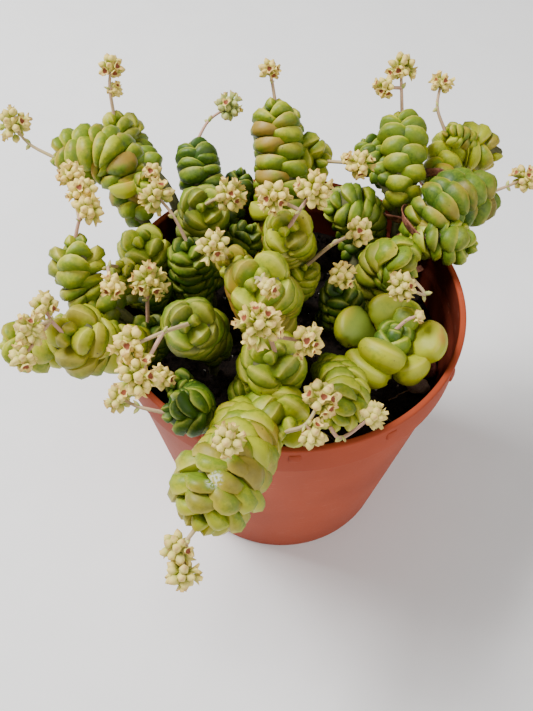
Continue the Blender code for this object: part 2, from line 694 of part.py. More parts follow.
def make_stones(collection, finishes):
    """Stones that rest on the soil on a flat spot."""
    for name, (place, size, seed) in STONES.items():
        bm = bmesh.new()
        bmesh.ops.create_icosphere(bm, subdivisions=2, radius=1)
        for vertex in bm.verts:
            rough = noise.noise(vertex.co * 1.3 + Vector((seed, 0, 0)))
            vertex.co *= 1 + STONE_ROUGHNESS * rough
            vertex.co.z = max(vertex.co.z, -STONE_FLAT)
        bmesh.ops.scale(bm, verts=bm.verts, vec=Vector(size) * MM)
        rest = SOIL_TOP + SOIL_BUMP * 0.6 + GAP + STONE_FLAT * size[2]
        bmesh.ops.translate(bm, verts=bm.verts, vec=Vector((*place, rest)) * MM)
        new_object(name, mesh_from(bm, name), collection, finishes[name])


def main():
    for item in list(bpy.data.objects):
        bpy.data.objects.remove(item)
    parts = bpy.data.collections.new("potted_crassula")
    cutters = bpy.data.collections.new("cutters")
    bpy.context.scene.collection.children.link(parts)
    bpy.context.scene.collection.children.link(cutters)
    terracotta = material("terracotta_plastic", (0.36, 0.085, 0.04), 0.45)
    peat = material("peat_soil", (0.02, 0.012, 0.008), 0.95)
    leaf_green = material("leaf_green", (0.30, 0.40, 0.09), 0.42)
    cream = material("flower_cream", (0.78, 0.70, 0.42), 0.6)
    stones = {"stone_red": material("red_stone", (0.22, 0.06, 0.04), 0.8),
              "stone_pale": material("pale_stone", (0.50, 0.34, 0.27), 0.8)}
    make_pot(parts, cutters, terracotta)
    make_soil(parts, cutters, peat)
    make_stones(parts, stones)
    routes = shoot_routes()
    make_stems(routes, parts, leaf_green)
    routes["stem_open_rosette", 0] = make_rosette(parts, leaf_green)
    make_flowers(routes, parts, cream)


main()
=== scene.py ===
"""The look of a potted Crassula marchandii: leaves, flower heads, soil, stones and pot.

Lengths are millimetres, turned into metres by MM where they are used.
"""
import math
import random

import bpy
import numpy as np
from mathutils import Matrix, Vector, noise


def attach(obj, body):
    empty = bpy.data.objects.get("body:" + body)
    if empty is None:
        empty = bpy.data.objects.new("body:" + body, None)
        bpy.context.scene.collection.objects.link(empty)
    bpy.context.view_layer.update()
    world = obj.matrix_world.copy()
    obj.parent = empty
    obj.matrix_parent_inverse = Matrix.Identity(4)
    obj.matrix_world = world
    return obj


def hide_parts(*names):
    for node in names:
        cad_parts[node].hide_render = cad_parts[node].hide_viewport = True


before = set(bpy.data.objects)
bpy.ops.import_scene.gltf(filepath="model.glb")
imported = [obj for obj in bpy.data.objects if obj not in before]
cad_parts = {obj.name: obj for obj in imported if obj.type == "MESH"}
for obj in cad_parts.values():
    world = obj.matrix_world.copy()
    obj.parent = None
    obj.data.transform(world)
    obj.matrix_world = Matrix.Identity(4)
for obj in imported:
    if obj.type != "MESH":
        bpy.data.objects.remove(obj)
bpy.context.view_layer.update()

MM = 0.001
TAU = 2 * math.pi
GOLDEN_ANGLE = 2.39996

# Pot, the same sizes as the solid
POT_HEIGHT = 95.0
RIM_RADIUS = 52.5
RIM_WIDTH = 1.9
COLLAR_DEPTH = 12.0
COLLAR_STEP = 1.3
BASE_RADIUS = 38.0
WALL = 1.6
FLOOR_HEIGHT = 3.0
FLOOR_THICKNESS = 1.8
FOOT_WIDTH = 3.0
FOOT_SLOPE = 0.6
PAD_RADIUS = 12.0
POT_SIDES = 144
LUG_COUNT = 12
LUG_HEIGHT = 3.0
LUG_WIDTH = 3.6
LUG_PROUD = 0.9
LUG_DROP = 2.2
LUG_TURN = 2.0
DRAIN_COUNT = 6
DRAIN_RADIUS = 3.6
DRAIN_CIRCLE = 25.0

# Soil
SOIL_TOP = 75.0
SOIL_BUMP = 0.9
SOIL_SIDES = 96
SOIL_RINGS = 26
ROOT_DEPTH = 6.0
CRUMB_COUNT = 900
PERLITE_COUNT = 70

# Leafy stems
BARE_STEM = 1.7
ROW_PITCH = 0.27
TIP_PITCH = 0.16
PITCH_GROWTH = 0.04
WIDEST_LEAF = 9.6
TIP_DOME = 0.95
TIP_SIZE = 0.30
FOOT_SIZE = 0.62
FOOT_TAPER = 2.4
LEAF_ROOT = 0.42
LEAF_SPREAD = 0.61
WIDEST_SPREAD = 9.4
LEAF_HALF_HEIGHT = 0.300
LEAF_RISE = math.radians(10)
TIP_RISE = math.radians(38)
TIP_DROOP = 0.62
TIP_REACH = 1.05
TIP_THINNING = 0.28
TIP_NARROWING = 0.24
RING_OF_FOUR = 11
MOST_STRETCH = 1.42
HALF_LEAF = 0.56
OLD_DISTANCE = 45
CORE_SHARE = 0.64
PATH_STEPS = 14
ABOVE_SOIL = 4.0
BRANCH_DROP = 10.0
SHOOT_TURN = 6
BRANCH_TURN = 9
OLD_LEAF_HALF_HEIGHT = 3.0
OLD_LEAF_RISE = math.radians(-6)
SHEATH_THICKNESS = 0.28
SHEATH_HALF_WIDTH = 1.2
SHEATH_TORN = 0.3

# The leaf's outline seen from its corner, as (outwards, up) at degrees round it, and how near
# each of those rows is to the ridge: 1 on it, below 0 in the grooves; the leaf finish uses it
# for painted shade in the grooves and a painted highlight on the ridge
LEAF_MODEL_HEIGHT = 0.6
LEAF_PROFILE = {0: (1.0, 0.0), 45: (0.84, 0.47), 90: (0.0, 0.58), 135: (-0.75, 0.40),
                180: (-1.0, 0.0), 225: (-0.75, -0.42), 270: (0.0, -0.60), 315: (0.91, -0.40)}
LEAF_RIDGE = {0: 0.35, 45: 1.0, 90: 0.1, 135: -0.6, 180: -1.0, 225: -1.0, 270: -0.9, 315: -0.2}
# How the leaf narrows and lifts towards its corners: from and to a distance, width and lift
LEAF_CORNERS = ((0.3, 0.5, 0.97, 0.04), (0.6, 0.8, 1.0, 0.12), (0.9, 0.95, 1.22, 0.24),
                (0.97, 1.1, 1.0, 0.38))

# Flower heads
STALK_RADIUS = 0.58
STALK_BOW = 0.12
SIDE_STALK_BOW = 0.3
FORK_SHARE = 0.45
BUD_LENGTH = 1.70
BUD_WIDTH = 1.20
OPEN_SHARE = 0.24
FEWEST_BUDS = 10
BUDS_PER_RADIUS = 5.4
INNER_BUDS = 0.45
INNER_REACH = 0.68
BARE_SIDE = -0.72
GREENEST = 0.75

# Leafy stems of the plant. Each entry is the node, the root on the soil (x, y), and its shoots:
# points from above the soil to the tip, the radius over the leaves, the length that carries
# leaves, and how dark a green (0 to 1), how much warm blush (0 to 1) and how many degrees each
# row of leaves is turned on from the last. Each later shoot branches off the first one.
STEMS = {
    "stem_back_middle": ((-5, 26), [
        ([(-4, 30, 91), (-3, 40, 107), (-5, 55, 123)], 9.2, 52, (0.50, 0.30, 3)),
        ([(3, 48, 105), (12, 44, 109)], 9.0, 24, (0.48, 0.15, -5))]),
    "stem_back_right": ((33, 26), [
        ([(34, 27, 92), (35, 38, 110), (35, 56, 118)], 9.0, 31, (0.38, 0.18, 4)),
        ([(30, 35, 107), (24, 51, 112)], 6.4, 17, (0.72, 0.05, 8))]),
    "stem_back_left": ((-24, 30), [
        ([(-25, 32, 93), (-28, 40, 107), (-30, 49, 111)], 7.8, 34, (0.88, 0.05, 6)),
        ([(-18, 38, 95), (-15, 46, 103)], 6.4, 18, (0.92, 0.05, -6))]),
    "stem_left_rear": ((-31, 30), [
        ([(-38, 35, 104), (-52, 53, 105), (-56, 56, 116)], 8.2, 27, (0.40, 0.20, -4))]),
    "stem_left_arching": ((-36, 17), [
        ([(-40, 19, 95), (-48, 28, 106), (-54, 36, 116), (-72, 38, 113)], 9.2, 39, (0.44, 0.45, 6)),
        ([(-40, 26, 117)], 5.6, 13, (0.60, 0.70, 5))]),
    "stem_right_rear": ((38, 22), [
        ([(40, 25, 93), (41, 28, 100), (47, 40, 103), (53, 54, 106), (68, 53, 106)],
         9.0, 31, (0.25, 0.45, -5)),
        ([(48, 51, 116)], 5.4, 11, (0.45, 0.60, 4))]),
    "stem_right_side": ((33, 12), [
        ([(37, 18, 93), (45, 23, 110), (62, 36, 104)], 9.8, 38, (0.60, 0.50, 5)),
        ([(42, 15, 105), (55, 13, 104)], 7.8, 29, (0.50, 0.15, 7))]),
    "stem_right_inner": ((22, 16), [
        ([(26, 28, 90), (23, 30, 101), (11, 29, 104)], 8.4, 25, (0.72, 0.08, 9)),
        ([(20, 31, 91), (17, 38, 98)], 6.4, 18, (0.75, 0.10, 5))]),
    "stem_right_low": ((26, 5), [
        ([(26, 8, 92), (30, 8, 102), (36, 3, 101)], 8.8, 32, (0.55, 0.30, 8))]),
    "stem_middle_low": ((13, 4), [
        ([(16, -1, 88), (15, -1, 102)], 7.0, 25, (0.95, 0.00, 6))]),
    "stem_middle_tall": ((-2, 12), [
        ([(-1, 13, 90), (0, 8, 108), (-1, -3, 126)], 7.9, 49, (0.50, 0.35, 5)),
        ([(2, 3, 93), (5, 1, 108)], 5.5, 21, (0.45, 0.10, -6))]),
    "stem_middle_left": ((-24, 12), [
        ([(-27, 16, 97), (-26, 19, 108), (-24, 13, 119)], 8.0, 38, (0.70, 0.15, 9)),
        ([(-17, 19, 92), (-11, 22, 102)], 6.2, 18, (0.85, 0.05, 5))]),
    "stem_front_tall": ((-5, -10), [
        ([(-5, -10, 90), (-6, -14, 108), (-9, -25, 131)], 10.0, 54, (0.50, 0.40, 6)),
        ([(-10, -7, 108), (-17, -12, 124)], 5.6, 17, (0.50, 0.55, 5))]),
    "stem_left_slim": ((-27, 0), [
        ([(-28, 2, 90), (-29, 4, 113)], 6.8, 34, (0.95, 0.00, 6))]),
    "stem_left_upper": ((-41, 9), [
        ([(-42, 10, 93), (-43, 9, 110)], 8.8, 30, (0.62, 0.12, 9)),
        ([(-43, -1, 96), (-49, -1, 108)], 6.2, 24, (0.45, 0.20, 5)),
        ([(-40, -2, 94), (-39, -3, 107)], 6.4, 20, (0.90, 0.00, 6))]),
    "stem_left_cluster": ((-40, -14), [
        ([(-45, -15, 102), (-56, -12, 110), (-58, -3, 121)], 8.5, 24, (0.45, 0.22, -8)),
        ([(-53, -19, 106), (-64, -26, 104), (-77, -25, 103)], 8.6, 25, (0.33, 0.50, 7)),
        ([(-39, -17, 93), (-39, -17, 103)], 7.4, 20, (0.95, 0.05, 6)),
        ([(-44, -25, 101), (-52, -28, 107), (-57, -33, 118)], 9.8, 32, (0.34, 0.38, 6))]),
    "stem_front_left": ((-22, -14), [
        ([(-22, -17, 96), (-25, -25, 110), (-25, -34, 124)], 8.2, 44, (0.80, 0.20, 8))]),
    "stem_front_low": ((-24, -32), [
        ([(-25, -36, 94), (-25, -47, 105), (-31, -49, 107)], 6.9, 24, (0.96, 0.00, 7)),
        ([(-28, -32, 91), (-31, -33, 98)], 5.8, 14, (0.95, 0.00, 6))]),
    "stem_front_cluster": ((-4, -26), [
        ([(-5, -32, 90), (-5, -35, 104), (-4, -38, 119)], 9.2, 38, (0.52, 0.15, 7)),
        ([(-4, -42, 100), (-1, -55, 109)], 9.9, 27, (0.48, 0.18, 6)),
        ([(-12, -50, 103), (-11, -58, 107), (-16, -69, 110), (-21, -79, 107)],
         12.0, 36, (0.34, 0.34, 9)),
        ([(-14, -59, 112), (-14, -65, 122)], 6.0, 11, (0.40, 0.75, 6)),
        ([(-10, -35, 93), (-10, -39, 106)], 6.2, 20, (0.70, 0.05, 5))]),
    "stem_front_right": ((14, -18), [
        ([(11, -23, 91), (14, -40, 104), (10, -50, 103)], 7.2, 33, (0.42, 0.10, 9))]),
}

# The short open rosette at the right: the root, the middle of the rosette, then each
# leaf as (turn, reach, height from the rosette's middle, leaf size, lean of its tip in degrees)
ROSETTE_ROOT = (28, -16)
ROSETTE_MIDDLE = (29, -19, 97)
ROSETTE_STEM_RADIUS = 3.8
ROSETTE_FOOT_RADIUS = 2.6
ROSETTE_NECK = 16.0
ROSETTE_TOP = 7.6
ROSETTE_LEAVES = [(224, 9.3, -2.0, (6.6, 6.4, 4.8), 38), (303, 8.2, -1.0, (5.3, 5.1, 4.5), 40),
                  (154, 11.8, 1.0, (5.8, 6.0, 4.8), 36), (358, 9.3, 2.0, (6.0, 5.8, 5.0), 36),
                  (239, 6.4, 3.0, (6.6, 6.4, 4.8), 52), (98, 9.2, 3.6, (5.4, 5.0, 4.8), 46),
                  (53, 5.6, 5.5, (4.0, 3.6, 3.6), 43), (61, 9.4, 4.5, (3.6, 3.4, 3.2), 33),
                  (25, 2.8, 3.5, (3.4, 3.0, 3.2), 48), (115, 2.6, 3.5, (3.2, 3.0, 3.2), 48),
                  (205, 2.8, 3.5, (3.4, 3.0, 3.2), 48), (295, 2.6, 3.5, (3.2, 3.0, 3.2), 48),
                  (70, 1.2, 6.0, (2.0, 1.8, 2.6), 62), (250, 1.2, 6.0, (2.0, 1.8, 2.6), 62)]

# Flower heads. Each entry is the stem and the number of the shoot that carries it,
# then its clusters as (x, y, z, radius)
FLOWERS = {
    "flower_left_arching": ("stem_left_arching", 0, [(-85, 46, 119, 5.6)]),
    "flower_left_rear": ("stem_left_rear", 0, [(-56, 63, 128, 4.6), (-55, 60, 122, 2.6)]),
    "flower_left_bud": ("stem_left_arching", 1, [(-40, 24, 121, 3.0)]),
    "flower_back_left": ("stem_back_left", 0, [(-20, 58, 118, 4.8)]),
    "flower_back_middle": ("stem_back_middle", 0, [(-7, 59, 131, 3.8)]),
    "flower_back_middle_side": ("stem_back_middle", 1, [(20, 31, 119, 4.6), (17, 37, 116, 2.4)]),
    "flower_back_right": ("stem_back_right", 0, [(34, 66, 128, 5.2), (29, 60, 125, 3.8)]),
    "flower_right_rear": ("stem_right_rear", 1, [(46, 60, 127, 3.8)]),
    "flower_right_side": ("stem_right_side", 0, [(74, 41, 106, 4.8)]),
    "flower_middle_left": ("stem_middle_left", 0, [(-17, 10, 125, 5.0)]),
    "flower_left_slim": ("stem_left_slim", 0, [(-37, 12, 122, 5.4)]),
    "flower_left_outer": ("stem_left_cluster", 0,
                          [(-54, 0, 128, 4.6), (-56, 6, 129, 4.4), (-60, 13, 128, 4.2)]),
    "flower_left_pair": ("stem_left_upper", 1, [(-46, -19, 120, 3.6)]),
    "flower_middle_tall": ("stem_middle_tall", 0, [(5, 0, 136, 5.4), (-5, 0, 134, 4.8)]),
    "flower_middle_tall_side": ("stem_middle_tall", 1, [(18, 0, 122, 4.6)]),
    "flower_middle_low": ("stem_middle_low", 0, [(14, -6, 111, 4.0)]),
    "flower_right_low": ("stem_right_low", 0, [(30, -11, 113, 4.4)]),
    "flower_front_tall_side": ("stem_front_tall", 1, [(-20, -15, 131, 4.8)]),
    "flower_front_tall": ("stem_front_tall", 0, [(-6, -34, 138, 2.8)]),
    "flower_left_low": ("stem_left_cluster", 2, [(-38, -12, 114, 5.4)]),
    "flower_left_front": ("stem_left_cluster", 3,
                          [(-61, -29, 123, 4.0), (-63, -37, 124, 4.4), (-64, -43, 121, 3.8)]),
    "flower_front_left": ("stem_front_left", 0, [(-37, -44, 128, 5.4), (-35, -51, 126, 5.4)]),
    "flower_front_low_side": ("stem_front_low", 1, [(-33, -37, 105, 3.6)]),
    "flower_front_low": ("stem_front_low", 0, [(-42, -46, 109, 4.2)]),
    "flower_front_middle": ("stem_front_cluster", 0, [(-8, -41, 133, 5.8), (3, -41, 127, 4.4)]),
    "flower_front_middle_side": ("stem_front_cluster", 1, [(7, -51, 118, 5.0), (5, -58, 114, 4.2)]),
    "flower_front_right": ("stem_front_right", 0, [(20, -51, 111, 3.7)]),
    "flower_front_hanging": ("stem_front_cluster", 2, [(-25, -83, 105, 4.4), (-24, -88, 102, 4.2)]),
    "flower_front_hanging_side": ("stem_front_cluster", 3, [(-14, -68, 127, 4.0)]),
    "flower_rosette_bud": ("stem_open_rosette", 0, [(35, -17, 108, 2.0)]),
}

# Stones. Each entry is its place on the soil, its size, the seed of its shape and its slot
STONE_FLAT = 0.62
STONE_ROUGHNESS = 0.22
STONE_PITS = 0.025
STONES = {
    "stone_red": ((42.8, -12.6), (2.8, 3.4, 3.6), 3, "red_stone"),
    "stone_pale": ((39.5, -19.0), (3.4, 2.4, 2.0), 8, "pale_stone"),
}

# Twigs on the soil: from, to and how thick
TWIGS = [((30.4, -23.8), (37.8, -19.6), 0.26), ((33, -33), (26, -29), 0.22),
         ((7, -33), (14, -38), 0.28), ((0, 0), (9, -8), 0.30), ((-14, -22), (-8, -32), 0.26)]

# Shoots whose leaves are warmer on one side: the way that side faces and how much
WARM_SIDES = {
    ("stem_front_tall", 0): ((-0.95, -0.3, 0.0), 1.3),
    ("stem_left_arching", 0): ((0.4, -0.8, -0.3), 0.8),
    ("stem_back_middle", 0): ((-0.5, -0.8, 0.0), 0.6),
    ("stem_front_cluster", 2): ((0.6, 0.3, 0.7), 0.3),
    ("stem_right_rear", 0): ((0.3, 0.2, 0.9), 0.6),
}

# How dark a green, how much blush and how dull an upper side for each leaf of the open rosette
ROSETTE_TONES = [(0.02, 0.70, 0.25), (0.00, 0.12, 0.10), (0.10, 0.45, 0.75), (0.00, 1.00, 0.10),
                 (0.02, 0.20, 0.45), (0.02, 0.35, 0.45), (0.30, 0.05, 0.10), (0.25, 0.10, 0.10),
                 (0.72, 0.00, 0.10), (0.80, 0.00, 0.10), (0.74, 0.00, 0.10), (0.62, 0.00, 0.10),
                 (0.90, 0.00, 0.10), (0.85, 0.00, 0.10)]

# An old leaf that has turned amber: the stem, its shoot, the distance from the tip, the
# way it faces and its length
OLD_LEAVES = [("stem_back_middle", 0, 34.0, (-0.75, -0.65, 0.0), 10.2),
              ("stem_left_arching", 0, 30.0, (0.3, -0.9, 0.0), 9.0)]

# Dry brown leaves that still clasp a shoot: the stem, its shoot, the distance from the
# tip, the way they face, how far round they reach (degrees) and their radius
DRY_SHEATHS = [("stem_back_right", 0, 33.0, (-0.2, -1.0, 0.0), 200, 4.6),
               ("stem_right_side", 0, 30.0, (-0.8, -0.5, 0.0), 170, 7.6),
               ("stem_right_side", 1, 27.0, (-0.7, -0.7, 0.2), 190, 5.4),
               ("stem_right_rear", 0, 30.0, (-0.6, -0.8, 0.0), 190, 5.6)]

# Camera: its place, its tilt, the ways that its picture runs across and up, and its lens
CAMERA_PLACE = (-6.1, -154.1, 275.7)
CAMERA_TILT = math.radians(53.81)
CAMERA_ACROSS = (0.99980, 0.01606, 0.01175)
CAMERA_UP = (-0.01990, 0.80690, 0.59035)
CAMERA_LENS = 40.5

# Lamps as (name, place, size, power), the point that they face (metres) and the room's light
LIGHTS = (("key", (-0.46, 0.16, 0.78), 0.36, 13.5), ("fill", (0.55, -0.50, 0.55), 0.7, 4.0))
LIT_POINT = (0, 0, 0.08)
ROOM_COLOUR = (1.0, 0.985, 0.96, 1.0)
ROOM_STRENGTH = 0.36


# Making pieces

def pick(*pieces):
    """Select these pieces and nothing else, the first one active."""
    if bpy.context.mode != "OBJECT":
        bpy.ops.object.mode_set(mode="OBJECT")
    bpy.ops.object.select_all(action="DESELECT")
    for piece in pieces:
        piece.select_set(True)
        bpy.context.view_layer.objects.active = pieces[0]


def named(name):
    """The primitive just added, under its own name."""
    piece = bpy.context.active_object
    piece.name = name
    piece.data.name = name
    return piece


def choose(piece, kind, wanted):
    """Select the wanted ones of a piece's vertices ("VERT") or faces ("FACE"), in edit mode."""
    bpy.context.view_layer.objects.active = piece
    bpy.ops.object.mode_set(mode="EDIT")
    bpy.ops.mesh.select_mode(type=kind)
    bpy.ops.mesh.select_all(action="DESELECT")
    bpy.ops.object.mode_set(mode="OBJECT")
    parts = piece.data.vertices if kind == "VERT" else piece.data.polygons
    parts.foreach_set("select", [bool(want) for want in wanted])
    bpy.ops.object.mode_set(mode="EDIT")


def shape(piece, wanted, scale=None, move=None, about=(0, 0, 0)):
    """Scale the wanted vertices about a point, then move them.

    They are wanted by a test of their place, or by a list with an entry for each vertex.
    """
    if callable(wanted):
        wanted = [wanted(vertex.co) for vertex in piece.data.vertices]
    choose(piece, "VERT", wanted)
    if scale:
        bpy.ops.transform.resize(value=scale, center_override=about)
    if move:
        bpy.ops.transform.translate(value=move)
    bpy.ops.object.mode_set(mode="OBJECT")


def apply_all(piece):
    pick(piece)
    for modifier in list(piece.modifiers):
        bpy.ops.object.modifier_apply(modifier=modifier.name)


def joined(pieces, name):
    """One mesh object from several, with its origin left at the frame's origin."""
    pick(*pieces)
    if len(pieces) > 1:
        bpy.ops.object.join()
    return named(name)


def smooth(piece, angle=None):
    pick(piece)
    if angle is None:
        bpy.ops.object.shade_smooth()
    else:
        bpy.ops.object.shade_smooth_by_angle(angle=angle)


def points_of(model):
    places = np.empty(len(model.data.vertices) * 3)
    model.data.vertices.foreach_get("co", places)
    return places.reshape(-1, 3)


def paint(piece, **looks):
    """Give the vertices three numbers under each name, each one for all or one for every vertex."""
    count = len(piece.data.vertices)
    for name, numbers in looks.items():
        rows = np.stack([np.broadcast_to(np.asarray(number, float), count) for number in numbers], 1)
        layer = piece.data.attributes.get(name)
        if layer is None:
            layer = piece.data.attributes.new(name, "FLOAT_VECTOR", "POINT")
        layer.data.foreach_set("vector", rows.ravel())
    return piece


def copy_of(model, places, **looks):
    """A copy of a model with its own mesh, its vertices at the given places."""
    piece = model.copy()
    piece.data = model.data.copy()
    bpy.context.scene.collection.objects.link(piece)
    piece.data.vertices.foreach_set("co", np.asarray(places).ravel())
    piece.data.update()
    return paint(piece, **looks)


def drop(*pieces):
    for piece in pieces:
        bpy.data.objects.remove(piece)


def dress(piece, finish, material_slot, *nodes):
    """Give a piece its material when a finish is given, hang it from the root body and hide the solids
    of the nodes that it stands for.
    """
    if finish:
        piece.data.materials.clear()
        piece.data.materials.append(finish)
    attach(piece, "root")
    if nodes:
        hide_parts(*nodes)
    return piece


def rod(name, places, radii, sides=1):
    """A round rod along a line, its thickness given at each point."""
    pick()
    bpy.ops.curve.primitive_bezier_curve_add()
    curve = bpy.context.active_object.data
    curve.splines.clear()
    line = curve.splines.new("POLY")
    line.points.add(len(places) - 1)
    for spot, place, radius in zip(line.points, places, radii):
        spot.co = (*place, 1.0)
        spot.radius = radius * MM
    curve.dimensions = "3D"
    curve.bevel_depth = 1.0
    curve.bevel_resolution = sides
    curve.use_fill_caps = True
    bpy.ops.object.convert(target="MESH")
    bpy.ops.object.shade_smooth()
    return named(name)


# Lines that the stems follow

def smooth_path(points):
    """A curve through the points, as a row of close places."""
    ends = [2 * points[0] - points[1], *points, 2 * points[-1] - points[-2]]
    path = []
    for before, start, end, after in zip(ends, ends[1:], ends[2:], ends[3:]):
        for step in range(PATH_STEPS):
            t = step / PATH_STEPS
            path.append(0.5 * (2 * start + (end - before) * t
                               + (2 * before - 5 * start + 4 * end - after) * t * t
                               + (3 * start - before - 3 * end + after) * t ** 3))
    return path + [points[-1]]


class StemLine:
    """A smooth line that gives its place and turning frame at distances from its tip."""

    def __init__(self, points, turn):
        self.path = smooth_path([Vector(point) for point in points])
        self.path.reverse()
        along = [0.0]
        for first, second in zip(self.path, self.path[1:]):
            along.append(along[-1] + (second - first).length)
        self.along = np.array(along)
        self.length = along[-1]
        side = Matrix.Rotation(turn, 3, "Z") @ Vector((1, 0, 0))
        sides = []
        ups = []
        for first, second in zip([self.path[0], *self.path], [*self.path[1:], self.path[-1]]):
            up = (first - second).normalized()
            side = (side - up * side.dot(up)).normalized()
            sides.append(side.copy())
            ups.append(up)
        self.table = [np.array(rows) for rows in (self.path, sides, ups)]

    def frames(self, distances):
        """Places, sides, other sides and tip directions; past the tip it runs straight on."""
        distances = np.atleast_1d(distances)
        place, side, up = [
            np.stack([np.interp(distances, self.along, rows[:, axis]) for axis in range(3)], 1)
            for rows in self.table]
        side /= np.linalg.norm(side, axis=1)[:, None]
        up /= np.linalg.norm(up, axis=1)[:, None]
        place = place + up * np.maximum(-distances, 0)[:, None]
        return place, side, np.cross(up, side), up

    def spokes(self, distances, angles):
        """Places on the line, the ways out from them at the angles, and the ways across those."""
        place, side, other, _ = self.frames(distances)
        angles = np.reshape(angles, (-1, 1))
        return (place, side * np.cos(angles) + other * np.sin(angles),
                other * np.cos(angles) - side * np.sin(angles))

    def angle_of(self, distance, way):
        """The angle round the line at which it faces a way."""
        _, side, other, _ = self.frames(distance)
        return math.atan2(np.dot(other[0], way), np.dot(side[0], way))

    def tip(self):
        place, _, _, up = self.frames(0.0)
        return Vector(place[0]), Vector(up[0])


def stem_lines():
    """The line of each shoot, the same as in the solids."""
    lines = {}
    for number, (name, (root, shoots)) in enumerate(STEMS.items()):
        base = [(*root, SOIL_TOP + height) for height in (-ROOT_DEPTH, -1, ABOVE_SOIL)]
        for index, (points, *_) in enumerate(shoots):
            turn = math.radians(45 + SHOOT_TURN * (number % 5 - 2) + BRANCH_TURN * index)
            if index == 0:
                main = lines[name, index] = StemLine(base + points, turn)
                continue
            want = points[0][2] - BRANCH_DROP
            start = min(main.path, key=lambda point: abs(point.z - want))
            lines[name, index] = StemLine([start, *points], turn)
    return lines


# Leaves

def model_leaf():
    """One fat leaf: a flat upper side, a ridge round it and a full outer side.

    It reaches from -1 to 1 outwards (X) and between its corners (Y), with its upper side on +Z.
    """
    pick()
    bpy.ops.mesh.primitive_uv_sphere_add(segments=8, ring_count=8, radius=1,
                                         rotation=(math.pi / 2, 0, 0))
    leaf = named("leaf_model")
    bpy.ops.object.transform_apply(rotation=True)
    places = points_of(leaf)
    around = [round(math.degrees(math.atan2(up, out))) % 360 for out, _, up in places]
    corner = [math.hypot(out, up) < 0.01 for out, _, up in places]
    for degrees, place in LEAF_PROFILE.items():
        row = [angle == degrees and not end for angle, end in zip(around, corner)]
        start = (math.cos(math.radians(degrees)), math.sin(math.radians(degrees)))
        wider, higher = (end / begin if abs(begin) > 0.1 else 1.0 for end, begin in zip(place, start))
        shape(leaf, row, (wider, 1.0, higher))
    for low, high, narrower, lift in LEAF_CORNERS:
        shape(leaf, lambda co: low < abs(co.y) < high, (narrower, 1.0, 1.0), (0, 0, lift))
    paint(leaf, leaf_look=(0, [0.5 if end else LEAF_RIDGE[angle]
                               for angle, end in zip(around, corner)], 0))
    smooth(leaf)
    choose(leaf, "VERT", [angle == 45 or end for angle, end in zip(around, corner)])
    bpy.ops.mesh.select_mode(type="EDGE")
    bpy.ops.mesh.mark_sharp()
    bpy.ops.object.mode_set(mode="OBJECT")
    return leaf


def leaf_edge(model):
    """How near each vertex of the leaf is to its ridge: 1 on it, below 0 in the grooves."""
    looks = np.empty(len(model.data.vertices) * 3)
    model.data.attributes["leaf_look"].data.foreach_get("vector", looks)
    return looks.reshape(-1, 3)[:, 1]


def shoot_radius(distance, radius, leafy):
    """Radius over the leaves: a blunt dome at the tip, a slight waist at the foot."""
    dome = min(max(distance, 0.0) / (TIP_DOME * radius), 1.0)
    size = TIP_SIZE + (1 - TIP_SIZE) * math.sqrt(max(1 - (1 - dome) ** 2, 0.0))
    foot = min((leafy - distance) / (FOOT_TAPER * radius), 1.0)
    return radius * size * (FOOT_SIZE + (1 - FOOT_SIZE) * max(foot, 0.0))


def row_distances(radius, leafy):
    """Distances from the tip of the rows of leaf pairs, closer near the tip."""
    size = min(radius, WIDEST_LEAF)
    rows = [0.0]
    step = TIP_PITCH
    while rows[-1] + step * size < leafy:
        rows.append(rows[-1] + step * size)
        step = min(step + PITCH_GROWTH, ROW_PITCH)
    return rows


def lay_leaf(line, model, distance, angle, reach, half_height, rise, spread, droop=0.0):
    """The model's vertices laid on the line, its keel at the distance and reach."""
    out, across, up = model.T
    up = (up - droop * across ** 2) * half_height / LEAF_MODEL_HEIGHT
    length = reach / math.cos(rise)
    out = length * (LEAF_ROOT + (1 - LEAF_ROOT) * out)
    outwards = out * math.cos(rise) - up * math.sin(rise)
    upwards = out * math.sin(rise) + up * math.cos(rise)
    place, radial, tangent = line.spokes(distance + length * math.sin(rise) - upwards, angle)
    sideways = across * spread * min(length, WIDEST_SPREAD)
    return (place + radial * outwards[:, None] + tangent * sideways[:, None]) * MM


def leaf_spots(line, distance, angle, reach, step):
    """Where a leaf sits: once, or twice where the shoot bends and its outer side is long."""
    place, radial, _ = line.spokes([distance - step, distance + step], angle)
    first, second = place + radial * reach
    if np.linalg.norm(second - first) < MOST_STRETCH * 2 * step:
        return [distance]
    return [distance - step / 2, distance + step / 2]


